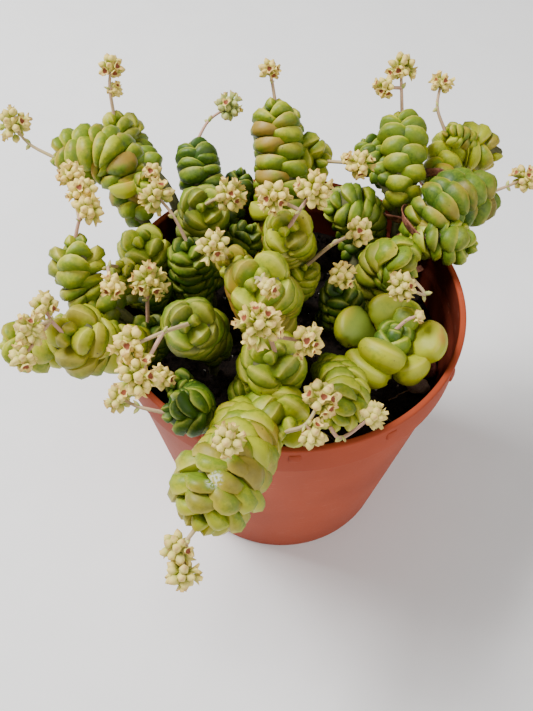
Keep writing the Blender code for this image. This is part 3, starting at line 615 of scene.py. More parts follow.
def leafy_shoot(line, radius, leafy, tones, leaf, rand, warm=((0, 0, 0), 0)):
    """Crossed pairs of leaves down a shoot, on a core that runs on as the bare stem."""
    tone, blush, twist = tones
    warm_way, warmer = warm
    model = points_of(leaf)
    edge = leaf_edge(leaf)
    full = min(radius, WIDEST_LEAF)
    ring = 4 if radius > RING_OF_FOUR else 2
    pieces = []
    for row, distance in enumerate(row_distances(radius, leafy)):
        near_tip = max(1 - distance / (TIP_REACH * radius), 0.0)
        rise = LEAF_RISE + (TIP_RISE - LEAF_RISE) * near_tip
        half_height = full * LEAF_HALF_HEIGHT * (1 - TIP_THINNING * near_tip ** 2)
        narrow = 1 - TIP_NARROWING * near_tip ** 0.6
        for turn in range(ring):
            size = 1 + rand.uniform(-0.045, 0.03)
            angle = (math.pi / ring * (row % 2 + 2 * turn) + math.radians(twist) * row
                     + rand.uniform(-0.10, 0.10))
            reach = shoot_radius(distance, radius, leafy) * size
            outwards = line.spokes(distance, angle)[1][0]
            warmth = blush + warmer * max(np.dot(outwards, warm_way), 0.0) * min(distance / 8, 1.0)
            spots = leaf_spots(line, distance, angle, reach, full * ROW_PITCH)
            height = half_height * rand.uniform(0.94, 1.05) * (1 if len(spots) == 1 else HALF_LEAF)
            for spot in spots:
                places = lay_leaf(line, model, spot + rand.uniform(-0.04, 0.04) * radius, angle, reach,
                                  height, rise + rand.uniform(-0.07, 0.07),
                                  LEAF_SPREAD * rand.uniform(0.95, 1.04) * narrow,
                                  TIP_DROOP * near_tip ** 0.5)
                age = min(distance / OLD_DISTANCE, 1.0)
                pieces.append(copy_of(leaf, places, leaf_look=(rand.random(), edge, age),
                                      stem_look=(tone, warmth, 0.0)))
    return pieces + [stem_core(line, radius, leafy, tone, rand)]


def old_leaf(line, distance, way, length, leaf):
    """An amber leaf that hangs a little below the level of its foot."""
    places = lay_leaf(line, points_of(leaf), distance, line.angle_of(distance, way), length,
                      OLD_LEAF_HALF_HEIGHT, OLD_LEAF_RISE, LEAF_SPREAD)
    return copy_of(leaf, places, leaf_look=(0.0, leaf_edge(leaf), 0.0), stem_look=(0.1, 1.6, 0.0))


def dry_sheaths(lines, finish):
    """Papery brown leaves, curled round the shoots with a torn edge."""
    for number, (stem, index, distance, way, sweep, radius) in enumerate(DRY_SHEATHS):
        pick()
        bpy.ops.mesh.primitive_grid_add(x_subdivisions=20, y_subdivisions=4, size=2)
        sheath = named("dry_sheath_%d" % number)
        line = lines[stem, index]
        flat = points_of(sheath)
        around, up, _ = flat.T
        ripple = np.array([noise.noise(Vector((spot[0] * 3.0, spot[1] * 0.8, number))) for spot in flat])
        width = SHEATH_HALF_WIDTH * (1 - 0.5 * np.abs(around)) + SHEATH_TORN * ripple
        angles = line.angle_of(distance, way) + around * math.radians(sweep / 2)
        place, radial, _ = line.spokes(distance - up * width + 0.6 * around, angles)
        reach = radius + 0.9 * up + 0.7 * ripple + 0.5 * np.abs(around)
        sheath.data.vertices.foreach_set("co", ((place + radial * reach[:, None]) * MM).ravel())
        wall = sheath.modifiers.new("thickness", "SOLIDIFY")
        wall.thickness = SHEATH_THICKNESS * MM
        wall.offset = 0
        apply_all(sheath)
        smooth(sheath)
        dress(sheath, finish, "leaf")


def stem_core(line, radius, leafy, tone, rand):
    """The stem inside a shoot's leaves and the bare stem below them, all in the bark colour; inside the
    leaves that dark colour is painted shade in the gaps between them.
    """
    inner = np.linspace(0.5 * radius, leafy, 14)
    outer = np.linspace(leafy + 1.5, line.length, 10)
    places = line.frames(np.concatenate([inner, outer]))[0] * MM
    radii = [CORE_SHARE * shoot_radius(distance, radius, leafy) for distance in inner]
    radii[-1] *= 0.8
    radii += [BARE_STEM * rand.uniform(0.94, 1.0) for _ in outer]
    return paint(rod("core", places, radii), leaf_look=(0.5, 0.0, 1.0), stem_look=(tone, 0.0, 1.0))


def leafy_stems(lines, finish):
    """Every leafy stem, its shoots joined in one piece."""
    leaf = model_leaf()
    for number, (name, (_, shoots)) in enumerate(STEMS.items()):
        rand = random.Random(100 + number)
        pieces = []
        for index, (_, radius, leafy, tones) in enumerate(shoots):
            line = lines[name, index]
            pieces += leafy_shoot(line, radius, min(leafy, line.length - 3), tones, leaf, rand,
                                  WARM_SIDES.get((name, index), ((0, 0, 0), 0)))
        pieces += [old_leaf(lines[stem, index], distance, way, length, leaf)
                   for stem, index, distance, way, length in OLD_LEAVES if stem == name]
        dress(joined(pieces, "leafy_" + name), finish, "leaf", name)
    drop(leaf)


def model_round_leaf():
    """A thick round leaf of the open rosette, its foot at -1 and its tip at 1 on X.

    Its upper side is flatter, its outer side full and round.
    """
    pick()
    bpy.ops.mesh.primitive_cube_add(size=2)
    leaf = named("round_leaf_model")
    rounding = leaf.modifiers.new("rounding", "SUBSURF")
    rounding.levels = rounding.render_levels = 3
    cast = leaf.modifiers.new("cast", "CAST")
    cast.factor = 1.0
    cast.size = 1.0
    cast.use_radius_as_size = False
    apply_all(leaf)
    shape(leaf, lambda co: co.x > 0.25, (0.96, 1.14, 0.86), about=(0.25, 0, 0.1))
    shape(leaf, lambda co: co.x < -0.2, (1, 0.80, 0.86), about=(-0.2, 0, 0))
    shape(leaf, lambda co: co.z > 0.40, (1.03, 1.03, 0.55), about=(0, 0, 0.40))
    shape(leaf, lambda co: co.x < -0.05, (1.45, 1, 1), about=(-0.05, 0, 0))
    smooth(leaf)
    return leaf


def open_rosette(finish):
    """The open rosette on its short stem. It gives back the line that its bud stands on."""
    leaf = model_round_leaf()
    model = points_of(leaf)
    out, _, up = model.T
    upper = np.clip((up - 0.12) / 0.22, 0, 1) * np.clip((0.85 - out) / 0.4, 0, 1)
    # The leaf finish reads this rim as the ridge: each rosette leaf is lighter along its upper rim, with
    # a painted highlight and more blush there
    rim = np.clip(1 - np.abs(up - 0.36) / 0.30, 0, 1) * np.clip((out + 0.2) / 0.8, 0, 1)
    rand = random.Random(77)
    middle = Vector(ROSETTE_MIDDLE)
    pieces = []
    for (turn, reach, height, size, lean), (tone, blush, dull) in zip(ROSETTE_LEAVES, ROSETTE_TONES):
        places = model * np.array(size) * np.array([1.04, rand.uniform(1.02, 1.08), 1.10])
        pose = np.array(Matrix.Translation(middle) @ Matrix.Rotation(math.radians(turn), 4, "Z")
                        @ Matrix.Translation((reach, 0, height))
                        @ Matrix.Rotation(-math.radians(lean), 4, "Y"))
        places = (places @ pose[:3, :3].T + pose[:3, 3]) * MM
        pieces.append(copy_of(leaf, places, leaf_look=(rand.random(), rim, 0.2),
                              stem_look=(tone, blush * (1 - upper * 0.6), -upper * dull)))
    drop(leaf)
    foot = [(*ROSETTE_ROOT, SOIL_TOP + height) for height in (-ROOT_DEPTH, 3)]
    line = StemLine([*foot, middle - Vector((0, 0, 8)), middle + Vector((0, 0, 4))], 0)
    distances = np.linspace(0, line.length, 14)
    radii = np.where(distances < ROSETTE_NECK, ROSETTE_STEM_RADIUS, ROSETTE_FOOT_RADIUS)
    stem = rod("rosette_stem", line.frames(distances)[0] * MM, radii, 2)
    pieces.append(paint(stem, leaf_look=(0, 0, 0), stem_look=(0.5, 0.0, 1.0)))
    dress(joined(pieces, "leafy_stem_open_rosette"), finish, "leaf", "stem_open_rosette")
    return StemLine([middle, middle + Vector((0, 0, ROSETTE_TOP))], 0)


# Flower heads

def between_lobes(co):
    """Whether a place lies between two of the five lobes round Z."""
    return round(math.atan2(co.y, co.x) / (TAU / 10)) % 2 == 1


def model_bud():
    """A closed bud of five lobes on a thin foot, its tip up; the foot's end is the lowest point."""
    pick()
    bpy.ops.mesh.primitive_uv_sphere_add(segments=10, ring_count=6, radius=1)
    bud = named("bud_model")
    shape(bud, lambda co: math.hypot(co.x, co.y) > 0.1 and co.z > -0.7 and between_lobes(co),
          (0.84, 0.84, 1.0))
    shape(bud, lambda co: 0.8 < co.z < 0.9, (0.74, 0.74, 0.92))
    shape(bud, lambda co: 0.4 < co.z < 0.6, (1.0, 1.0, 0.85))
    shape(bud, lambda co: -0.95 < co.z < -0.8, (0.36, 0.36, 0.95))
    shape(bud, lambda co: -0.7 < co.z < -0.4, (0.86, 0.86, 1.0))
    smooth(bud)
    return bud


def model_open_flower():
    """An open flower: a cup with five pointed petals round a dark heart."""
    pick()
    bpy.ops.mesh.primitive_cone_add(vertices=10, radius1=0.34, radius2=0.9, depth=1.5,
                                    end_fill_type="NGON")
    flower = named("open_flower_model")

    def on_lip(co):
        return co.z > 0.5 and math.hypot(co.x, co.y) > 0.7
    choose(flower, "FACE", [face.normal.z > 0.9 for face in flower.data.polygons])
    bpy.ops.mesh.inset(thickness=0.42, depth=-0.42)
    bpy.ops.object.mode_set(mode="OBJECT")
    shape(flower, lambda co: on_lip(co) and between_lobes(co), (0.66, 0.66, 1.0), (0, 0, -0.18))
    shape(flower, lambda co: on_lip(co) and not between_lobes(co), (1.25, 1.25, 1.0), (0, 0, 0.30))
    choose(flower, "FACE", [face.normal.z < -0.9 for face in flower.data.polygons])
    bpy.ops.mesh.extrude_region_move(TRANSFORM_OT_translate={"value": (0, 0, -0.45)})
    bpy.ops.mesh.merge(type="CENTER")
    bpy.ops.object.mode_set(mode="OBJECT")
    smooth(flower, math.radians(50))
    return flower


def model_bract():
    """A small pointed leaf where a flower stalk forks."""
    pick()
    bpy.ops.mesh.primitive_uv_sphere_add(segments=8, ring_count=5, radius=1)
    bract = named("bract_model")
    shape(bract, lambda co: True, (0.5, 0.30, 1.0))
    shape(bract, lambda co: co.z > 0.5, (0.6, 0.8, 1.1))
    smooth(bract)
    return bract


def even_directions(count, rand):
    """Directions spread evenly over a ball, each a little out of place."""
    found = []
    for index in range(count):
        height = 1 - 2 * (index + 0.5) / count
        width = math.sqrt(1 - height * height)
        angle = index * GOLDEN_ANGLE + rand.uniform(-0.25, 0.25)
        way = Vector((width * math.cos(angle), width * math.sin(angle), height))
        found.append((way + Vector([rand.uniform(-0.16, 0.16) for _ in range(3)])).normalized())
    return found


def set_bud(model, kind, centre, way, reach, length, width, rand):
    """A bud whose tip is at the reach from the centre, its foot's end at the centre."""
    flat = points_of(model)
    foot = flat[:, 2] < flat[:, 2].min() + 0.01
    turn = way.to_track_quat("Z", "Y").to_matrix() @ Matrix.Rotation(rand.uniform(0, TAU), 3, "Z")
    places = flat * np.array([width, width, length])
    places[:, 2] += reach - places[:, 2].max()
    places[foot] = 0
    places = (places @ np.array(turn).T + np.array(centre)) * MM
    heights = np.where(foot, -0.6, np.clip((flat[:, 2] + 1) / 2, 0, 1))
    heart = (np.hypot(flat[:, 0], flat[:, 1]) < 0.5) & (flat[:, 2] > 0)
    kinds = np.where(heart & (model.name == "open_flower_model"), -1.0, kind)
    return copy_of(model, places, bud_look=(rand.random(), heights, kinds))


def flower_head(centre, radius, away, models, green, rand):
    """A loose ball of buds, some of them open, that face away from the stalk."""
    bud, opened, _ = models
    pieces = []
    outer = max(FEWEST_BUDS, round(BUDS_PER_RADIUS * radius))
    scale = 0.86 + 0.14 * radius / 5
    layers = ((outer, 1.0), (round(outer * INNER_BUDS), INNER_REACH))
    for layer, (count, share) in enumerate(layers):
        for way in even_directions(count, rand):
            if way.dot(away) < BARE_SIDE:
                continue
            reach = radius * share * rand.uniform(0.90, 1.05)
            length = BUD_LENGTH * scale * rand.uniform(0.85, 1.12)
            width = BUD_WIDTH * scale * rand.uniform(0.88, 1.10)
            model = bud
            if layer == 0 and rand.random() < OPEN_SHARE:
                model, reach, length, width = opened, reach * 1.04, length * 0.8, width * 1.12
            pieces.append(set_bud(model, green, centre, way, reach, length, width, rand))
    return pieces


def flower_heads(lines, finish):
    """Every flower head: its stalks, its balls of buds and two bracts at the fork."""
    models = (model_bud(), model_open_flower(), model_bract())
    for number, (name, (stem, index, clusters)) in enumerate(FLOWERS.items()):
        rand = random.Random(500 + number)
        tip, up = lines[stem, index].tip()
        seat = tip + up * 0.8
        centres = [Vector(cluster[:3]) for cluster in clusters]
        reach = centres[0] - seat
        bow = STALK_BOW if up.dot(reach.normalized()) > 0.2 else SIDE_STALK_BOW
        fork = seat + reach * FORK_SHARE + up * reach.length * bow
        green = GREENEST if name == "flower_back_left" else rand.uniform(0.0, 0.25)
        pieces = []
        for points in [[seat - up * 1.2, fork, centres[0]]] + [[fork, centre] for centre in centres[1:]]:
            path = smooth_path(points)[::3] + [points[-1]]
            radii = np.linspace(STALK_RADIUS, STALK_RADIUS * 0.72, len(path))
            stalk = rod("stalk", [place * MM for place in path], radii)
            pieces.append(paint(stalk, bud_look=(rand.random(), -1.0, green)))
        for centre, cluster in zip(centres, clusters):
            away = (centre - fork).normalized()
            pieces += flower_head(centre, cluster[3], away, models, green, rand)
        size = 1.1 if reach.length > 10 else 0.7
        for side in (-1, 1):
            way = (up * 0.9 + up.orthogonal().normalized() * side).normalized()
            pieces.append(set_bud(models[2], 0.6, fork - up * 0.4, way, 2.2 * size, 1.1 * size,
                                  1.2 * size, rand))
        dress(joined(pieces, "head_" + name), finish, "flower", name)
    drop(*models)


# Pot

def inner_radius(height):
    share = height / (POT_HEIGHT - COLLAR_DEPTH)
    top = RIM_RADIUS - RIM_WIDTH - COLLAR_STEP
    return BASE_RADIUS - WALL + (top - BASE_RADIUS + WALL) * share


def turned(name, profile, sides):
    """A piece turned round Z from a profile of (radius, height) points."""
    pick()
    bpy.ops.mesh.primitive_plane_add(size=MM)
    piece = named(name)
    bpy.ops.object.mode_set(mode="EDIT")
    bpy.ops.mesh.select_all(action="SELECT")
    bpy.ops.mesh.merge(type="CENTER")
    radius, height = profile[0]
    bpy.ops.transform.translate(value=(radius * MM, 0, height * MM))
    for (radius, height), (next_radius, next_height) in zip(profile, profile[1:]):
        bpy.ops.mesh.extrude_vertices_move(TRANSFORM_OT_translate={
            "value": ((next_radius - radius) * MM, 0, (next_height - height) * MM)})
    bpy.ops.object.mode_set(mode="OBJECT")
    turning = piece.modifiers.new("turning", "SCREW")
    turning.steps = sides
    turning.render_steps = sides
    turning.use_merge_vertices = True
    turning.merge_threshold = 0.00001
    apply_all(piece)
    bpy.ops.object.mode_set(mode="EDIT")
    bpy.ops.mesh.select_all(action="SELECT")
    bpy.ops.mesh.remove_doubles(threshold=0.000005)
    bpy.ops.mesh.normals_make_consistent(inside=False)
    bpy.ops.object.mode_set(mode="OBJECT")
    return piece


def rounded(corner, before, after, radius, steps=4):
    """Points that round a profile's corner."""
    corner, before, after = (Vector(point) for point in (corner, before, after))
    start = corner + (before - corner).normalized() * radius
    end = corner + (after - corner).normalized() * radius
    return [tuple((1 - t) ** 2 * start + 2 * t * (1 - t) * corner + t * t * end)
            for t in (step / steps for step in range(steps + 1))]


def pot_profile():
    collar = POT_HEIGHT - COLLAR_DEPTH
    inner_floor = FLOOR_HEIGHT + FLOOR_THICKNESS
    rim_in = RIM_RADIUS - RIM_WIDTH
    corners = [
        ((0, inner_floor), 0),
        ((inner_radius(inner_floor) - 0.4, inner_floor), 1.2),
        ((inner_radius(collar), collar), 0.5),
        ((rim_in, collar + 1.5), 0.6),
        ((rim_in, POT_HEIGHT), 0.7),
        ((RIM_RADIUS, POT_HEIGHT), 0.7),
        ((RIM_RADIUS - 0.5, collar), 0.4),
        ((RIM_RADIUS - COLLAR_STEP - 0.6, collar - 0.8), 0.5),
        ((BASE_RADIUS, 0), 0.9),
        ((BASE_RADIUS - FOOT_WIDTH, 0), 0.3),
        ((BASE_RADIUS - FOOT_WIDTH - FOOT_SLOPE, FLOOR_HEIGHT), 0.4),
        ((PAD_RADIUS + FOOT_SLOPE, FLOOR_HEIGHT), 0.3),
        ((PAD_RADIUS, 0), 0.3),
        ((0, 0), 0)]
    profile = []
    for index, (corner, radius) in enumerate(corners):
        if radius:
            profile += rounded(corner, corners[index - 1][0], corners[index + 1][0], radius)
        else:
            profile.append(corner)
    return profile


def make_lug():
    """One of the small blocks under the rim, its upper and lower edges sloping back to the collar."""
    pick()
    bpy.ops.mesh.primitive_cube_add(size=1)
    lug = named("lug_model")
    shape(lug, lambda co: True, (2 * LUG_PROUD * MM, LUG_WIDTH * MM, LUG_HEIGHT * MM))
    shape(lug, lambda co: co.x > 0 and co.z < 0, (0.70, 0.92, 1.0))
    shape(lug, lambda co: co.x > 0 and co.z > 0, (0.30, 0.92, 1.0))
    bevel = lug.modifiers.new("edges", "BEVEL")
    bevel.width = 0.5 * MM
    bevel.segments = 2
    apply_all(lug)
    return lug


def make_pot(finishes):
    """The pot with its drain holes and lugs, its inner wall and floor in a darker copy of the plastic as
    painted shade.
    """
    pot = turned("pot_shell", pot_profile(), POT_SIDES)
    drains = []
    for index in range(DRAIN_COUNT):
        place = Matrix.Rotation(TAU * (index + 0.5) / DRAIN_COUNT, 3, "Z") @ Vector(
            (DRAIN_CIRCLE, 0, FLOOR_HEIGHT))
        bpy.ops.mesh.primitive_cylinder_add(vertices=32, radius=DRAIN_RADIUS * MM, depth=8 * MM,
                                            location=place * MM)
        drains.append(named("drain"))
    drain = joined(drains, "drains")
    cut = pot.modifiers.new("drain_holes", "BOOLEAN")
    cut.object = drain
    cut.solver = "EXACT"
    apply_all(pot)
    model = make_lug()
    seat = np.array([RIM_RADIUS - 0.1, 0, POT_HEIGHT - LUG_DROP - LUG_HEIGHT / 2])
    spots = points_of(model) + seat * MM
    turns = [math.radians(LUG_TURN + 360 / LUG_COUNT * index) for index in range(LUG_COUNT)]
    lugs = [copy_of(model, spots @ np.array(Matrix.Rotation(turn, 3, "Z")).T) for turn in turns]
    drop(drain, model)
    pot = joined([pot, *lugs], "plastic_pot")
    pot.data.materials.clear()
    pot.data.materials.append(finishes["terracotta"])
    pot.data.materials.append(finishes["pot_inside_painted_shade"])
    # Painted shade: faces of the inner wall and floor take the darker copy of the plastic
    for face in pot.data.polygons:
        way = Vector((face.center.x, face.center.y, 0))
        level = FLOOR_HEIGHT + FLOOR_THICKNESS - 0.5 < face.center.z / MM < POT_HEIGHT - 1.2
        within = way.length < (RIM_RADIUS - RIM_WIDTH * 0.5) * MM
        inwards = face.normal.dot(way.normalized()) < -0.5 or face.normal.z > 0.5
        face.material_index = int(level and within and inwards)
    smooth(pot, math.radians(38))
    dress(pot, None, "pot_plastic", "pot")


# Soil

def soil_height(x, y):
    """Height of the soil's uneven top at a place."""
    spot = Vector((x, y, 0))
    lift = 0.5 if math.hypot(x, y) < 20 else 0.2
    return (SOIL_TOP + lift + SOIL_BUMP * noise.noise(spot * 0.11)
            + 0.35 * noise.noise(spot * 0.45 + Vector((9, 0, 0))))


def make_soil(finishes):
    bottom = FLOOR_HEIGHT + FLOOR_THICKNESS + 0.3
    edge = inner_radius(SOIL_TOP) - 0.35
    profile = [(0, bottom), (inner_radius(bottom) - 2.2, bottom),
               (inner_radius(bottom + 2) - 0.5, bottom + 2), (edge, SOIL_TOP - 0.8)]
    profile += [(edge * (1 - step / SOIL_RINGS), SOIL_TOP) for step in range(SOIL_RINGS + 1)]
    bed = turned("soil_bed", profile, SOIL_SIDES)
    for vertex in bed.data.vertices:
        x, y, z = vertex.co / MM
        if z > SOIL_TOP - 0.4:
            vertex.co.z = soil_height(x, y) * MM
    smooth(bed)
    dress(bed, finishes["peat"], "peat", "soil")
    return edge


def model_crumb():
    """A rough crumb of soil."""
    pick()
    bpy.ops.mesh.primitive_ico_sphere_add(subdivisions=1, radius=1)
    crumb = named("crumb_model")
    shape(crumb, lambda co: co.z > 0.6, (1.2, 0.9, 0.8))
    shape(crumb, lambda co: co.x > 0.5, (0.8, 1.1, 1.1))
    shape(crumb, lambda co: co.y < -0.5, (1.0, 1.2, 0.8))
    smooth(crumb, math.radians(30))
    return crumb


def scattered(model, count, low, high, edge, rand, name, finish, lift=0.25):
    """Copies of a crumb over the soil, turned and stretched each its own way."""
    flat = points_of(model)
    pieces = []
    for _ in range(count):
        out = edge * math.sqrt(rand.random())
        angle = rand.uniform(0, TAU)
        x = out * math.cos(angle)
        y = out * math.sin(angle)
        size = low + (high - low) * rand.random() ** 2
        sizes = np.array([size * rand.uniform(0.7, 1.2) for _ in range(3)])
        turn = (Matrix.Rotation(rand.uniform(0, TAU), 3, "Z")
                @ Matrix.Rotation(rand.uniform(0, TAU), 3, "X"))
        place = np.array([x, y, soil_height(x, y) + lift * size])
        pieces.append(copy_of(model, ((flat * sizes) @ np.array(turn).T + place) * MM))
    return dress(joined(pieces, name), finish, "peat")


def soil_litter(edge, finishes):
    """Crumbs of peat, bits of perlite and dry twigs on the soil."""
    rand = random.Random(4)
    crumb = model_crumb()
    scattered(crumb, CRUMB_COUNT, 0.45, 1.7, edge - 1.2, rand, "peat_crumbs", finishes["peat"])
    scattered(crumb, PERLITE_COUNT, 0.30, 0.75, edge - 1.5, rand, "perlite_bits",
              finishes["perlite"], 0.5)
    drop(crumb)
    twigs = []
    for start, end, thick in TWIGS:
        path = []
        for step in range(8):
            share = step / 7
            x, y = (first + (last - first) * share + rand.uniform(-0.4, 0.4)
                    for first, last in zip(start, end))
            path.append(Vector((x, y, soil_height(x, y) + 0.7 + 0.8 * math.sin(math.pi * share))) * MM)
        twigs.append(rod("twig", path, [thick * rand.uniform(0.7, 1.0) for _ in path]))
    dress(joined(twigs, "dry_twigs"), finishes["twig"], "peat")


# Stones

def make_stones(finishes):
    """The two stones, pitted and flat below, on the soil."""
    for name, (place, size, seed, material_slot) in STONES.items():
        pick()
        bpy.ops.mesh.primitive_ico_sphere_add(subdivisions=4, radius=1)
        stone = named("rough_" + name)
        for vertex in stone.data.vertices:
            rough = noise.noise(vertex.co * 1.3 + Vector((seed, 0, 0)))
            pits = noise.noise(vertex.co * 5 + Vector((0, seed, 0)))
            vertex.co *= 1 + STONE_ROUGHNESS * rough + STONE_PITS * pits
            vertex.co.z = max(vertex.co.z, -STONE_FLAT)
        rest = SOIL_TOP + SOIL_BUMP * 0.6 + 0.3 + STONE_FLAT * size[2]
        stone.data.transform(Matrix.Translation(Vector((*place, rest)) * MM)
                             @ Matrix.Diagonal(Vector((*(Vector(size) * MM), 1))))
        smooth(stone, math.radians(50))
        dress(stone, finishes[name], material_slot, name)


# Finishes

def maths(operation, swapped=False):
    """A method that adds a Math node, its two values swapped for a reflected form."""
    def method(self, other):
        values = (other, self) if swapped else (self, other)
        return self.finish.node("ShaderNodeMath", {"operation": operation}, values)
    return method


class Reading:
    """A number that varies over a surface. Arithmetic on it adds Math nodes."""

    def __init__(self, finish, socket):
        self.finish = finish
        self.socket = socket

    __add__ = maths("ADD")
    __radd__ = maths("ADD", True)
    __sub__ = maths("SUBTRACT")
    __rsub__ = maths("SUBTRACT", True)
    __mul__ = maths("MULTIPLY")
    __rmul__ = maths("MULTIPLY", True)
    __pow__ = maths("POWER")

    def over(self, low, high):
        """0 below the low value, 1 above the high one, smooth between."""
        return self.finish.node("ShaderNodeMapRange", {"interpolation_type": "SMOOTHSTEP"},
                                {"Value": self, "From Min": low, "From Max": high})

    def held(self):
        """Held between 0 and 1."""
        return self.finish.node("ShaderNodeClamp", {}, {"Value": self})


class Finish:
    """One material and the nodes that it is made of."""

    def __init__(self, name, roughness=0.5, specular=0.5):
        self.material = bpy.data.materials.new(name)
        self.material.use_nodes = True
        self.tree = self.material.node_tree
        self.shader = self.tree.nodes["Principled BSDF"]
        self.shader.inputs["Roughness"].default_value = roughness
        self.shader.inputs["Specular IOR Level"].default_value = specular

    def node(self, kind, settings, values=(), output=0):
        """Add a node of a kind with its settings, then the values or links of its sockets."""
        made = self.tree.nodes.new(kind)
        for name, value in settings.items():
            setattr(made, name, value)
        for name, value in values.items() if isinstance(values, dict) else enumerate(values):
            if isinstance(value, Reading):
                self.tree.links.new(value.socket, made.inputs[name])
            else:
                made.inputs[name].default_value = value
        return Reading(self, made.outputs[output])

    def feed(self, socket, value):
        """Link a value to one of the shader's own sockets."""
        self.tree.links.new(value.socket, self.shader.inputs[socket])

    def place(self):
        return self.node("ShaderNodeTexCoord", {}, (), "Object")

    def split(self, vector):
        return [self.node("ShaderNodeSeparateXYZ", {}, [vector], axis) for axis in range(3)]

    def attribute(self, name):
        """The three numbers of one of the piece's own attributes."""
        return self.split(self.node("ShaderNodeAttribute", {"attribute_name": name}, (), "Vector"))

    def noise(self, per_millimetre, detail=2.0, roughness=0.5, place=None):
        """Cloudy noise, by default over the piece's own place."""
        return self.node("ShaderNodeTexNoise", {},
                         {"Vector": place or self.place(), "Scale": per_millimetre / MM,
                          "Detail": detail, "Roughness": roughness})

    def specks(self, per_millimetre, size):
        """1 in small dots strewn over the surface."""
        near = self.node("ShaderNodeTexVoronoi", {},
                         {"Vector": self.place(), "Scale": per_millimetre / MM}, "Distance")
        return 1 - near.over(size * 0.6, size)

    def mix(self, share, first, second):
        """A colour between two, by a share from 0 to 1."""
        first, second = ((*colour, 1.0) if isinstance(colour, tuple) else colour
                         for colour in (first, second))
        return self.node("ShaderNodeMix", {"data_type": "RGBA"}, {0: share, 6: first, 7: second}, 2)

    def relief(self, height, depth, strength=1.0):
        """A bump of a depth in millimetres."""
        self.feed("Normal", self.node("ShaderNodeBump", {}, {
            "Height": height, "Distance": depth * MM, "Strength": strength}))


def leaf_finish():
    """Waxy leaves: yellow-green to dark green, blushed along the keel, with tiny dark dots. Painted
    shade darkens the grooves between leaves, a painted highlight runs along each ridge, and the dark
    bark colour on the stem core stands as painted shade between the leaves.
    """
    finish = Finish("waxy_leaf", 0.42, 0.34)
    chance, edge, age = finish.attribute("leaf_look")
    tone, blush, bark_and_core_shade = finish.attribute("stem_look")
    cloud = finish.noise(0.05, 3.0)
    patch = finish.noise(0.16, 2.0)
    grain = finish.noise(1.3, 3.0)
    mottle = finish.noise(0.55, 3.0, 0.65)
    # The edge term is painted light and shade: each leaf darker towards the grooves between leaves,
    # lighter towards its ridge
    dark = (tone + (chance - 0.5) * 0.34 + (cloud - 0.5) * 0.5 + (mottle - 0.5) * 0.70
            + (grain - 0.5) * 0.35 + age * 0.12 - edge * 0.30).held()
    green = finish.mix(dark.over(0.05, 0.55), BRIGHT_LEAF, MIDDLE_LEAF)
    green = finish.mix(dark.over(0.5, 1.0), green, DARK_LEAF)
    # Painted highlight: a pale line along each leaf's ridge
    green = finish.mix((edge.over(0.55, 1.0) * (0.60 - dark * 0.35)).held(), green, PAINTED_KEEL_HIGHLIGHT)
    warm = ((patch - 0.42) * 3.2 + (chance - 0.5) * 1.2 + edge * 0.5).over(0.15, 1.1)
    green = finish.mix((warm * blush * 0.95).held(), green, finish.mix(chance, AMBER, ROSE_BROWN))
    dots = finish.specks(0.30, 0.10) * patch.over(0.50, 0.60)
    green = finish.mix((dots * 0.75).held(), green, DARK_DOT)
    x, y, z = finish.split(finish.place())
    wax_x, wax_y, wax_z = (value * MM for value in WAX_PATCH)
    away = ((x - wax_x) ** 2 + (y - wax_y) ** 2 + (z - wax_z) ** 2) ** 0.5
    wax = (1 - away.over(1.0 * MM, 2.6 * MM)) * grain.over(0.42, 0.60)
    green = finish.mix((wax * 0.65).held(), green, WAX_WHITE)
    green = finish.mix((-1 * bark_and_core_shade).held(), green, FROST_GREEN)
    # The bark colour also covers the stem core inside the leaves, as painted shade in the gaps between
    # them
    bark_and_core_shade_colour = finish.mix(grain, BARK_AND_CORE_SHADE_DARK, BARK_AND_CORE_SHADE_LIGHT)
    finish.feed("Base Color", finish.mix(bark_and_core_shade.held(), green, bark_and_core_shade_colour))
    finish.feed("Roughness", (0.42 + grain * 0.16 + wax * 0.3 + bark_and_core_shade.held() * 0.3).held())
    finish.relief(grain * 0.5 + patch, 0.10, 0.5)
    return finish.material


def sheath_finish():
    """Papery red-brown skin of a dried leaf."""
    finish = Finish("dry_leaf", 0.7, 0.3)
    streak = finish.noise(0.5, 4.0, 0.7)
    finish.feed("Base Color", finish.mix(streak.over(0.35, 0.65), SHEATH_DARK, SHEATH_LIGHT))
    finish.relief(streak, 0.25, 0.6)
    return finish.material


def cream_finish():
    """Cream buds, greener at the foot and blushed at the tip, on pink-brown stalks."""
    finish = Finish("cream_bud", 0.6, 0.3)
    chance, height, kind = finish.attribute("bud_look")
    grain = finish.noise(2.2, 2.0)
    body = finish.mix((height + (grain - 0.5) * 0.3).over(0.15, 0.88), BUD_FOOT, BUD_CREAM)
    body = finish.mix((kind * 0.9).held(), body, BUD_GREEN)
    body = finish.mix(1 - kind.over(-0.95, -0.45), body, BUD_HEART)
    body = finish.mix(((height - 0.78) * 4 * chance.over(0.15, 0.7)).held() * 0.75, body, BUD_BLUSH)
    stalk = finish.mix((grain * 0.6 + chance * 0.4).over(0.3, 0.8), STALK_PINK, STALK_TAN)
    finish.feed("Base Color", finish.mix(height.over(-0.35, -0.12), stalk, body))
    finish.relief(grain, 0.05, 0.4)
    return finish.material


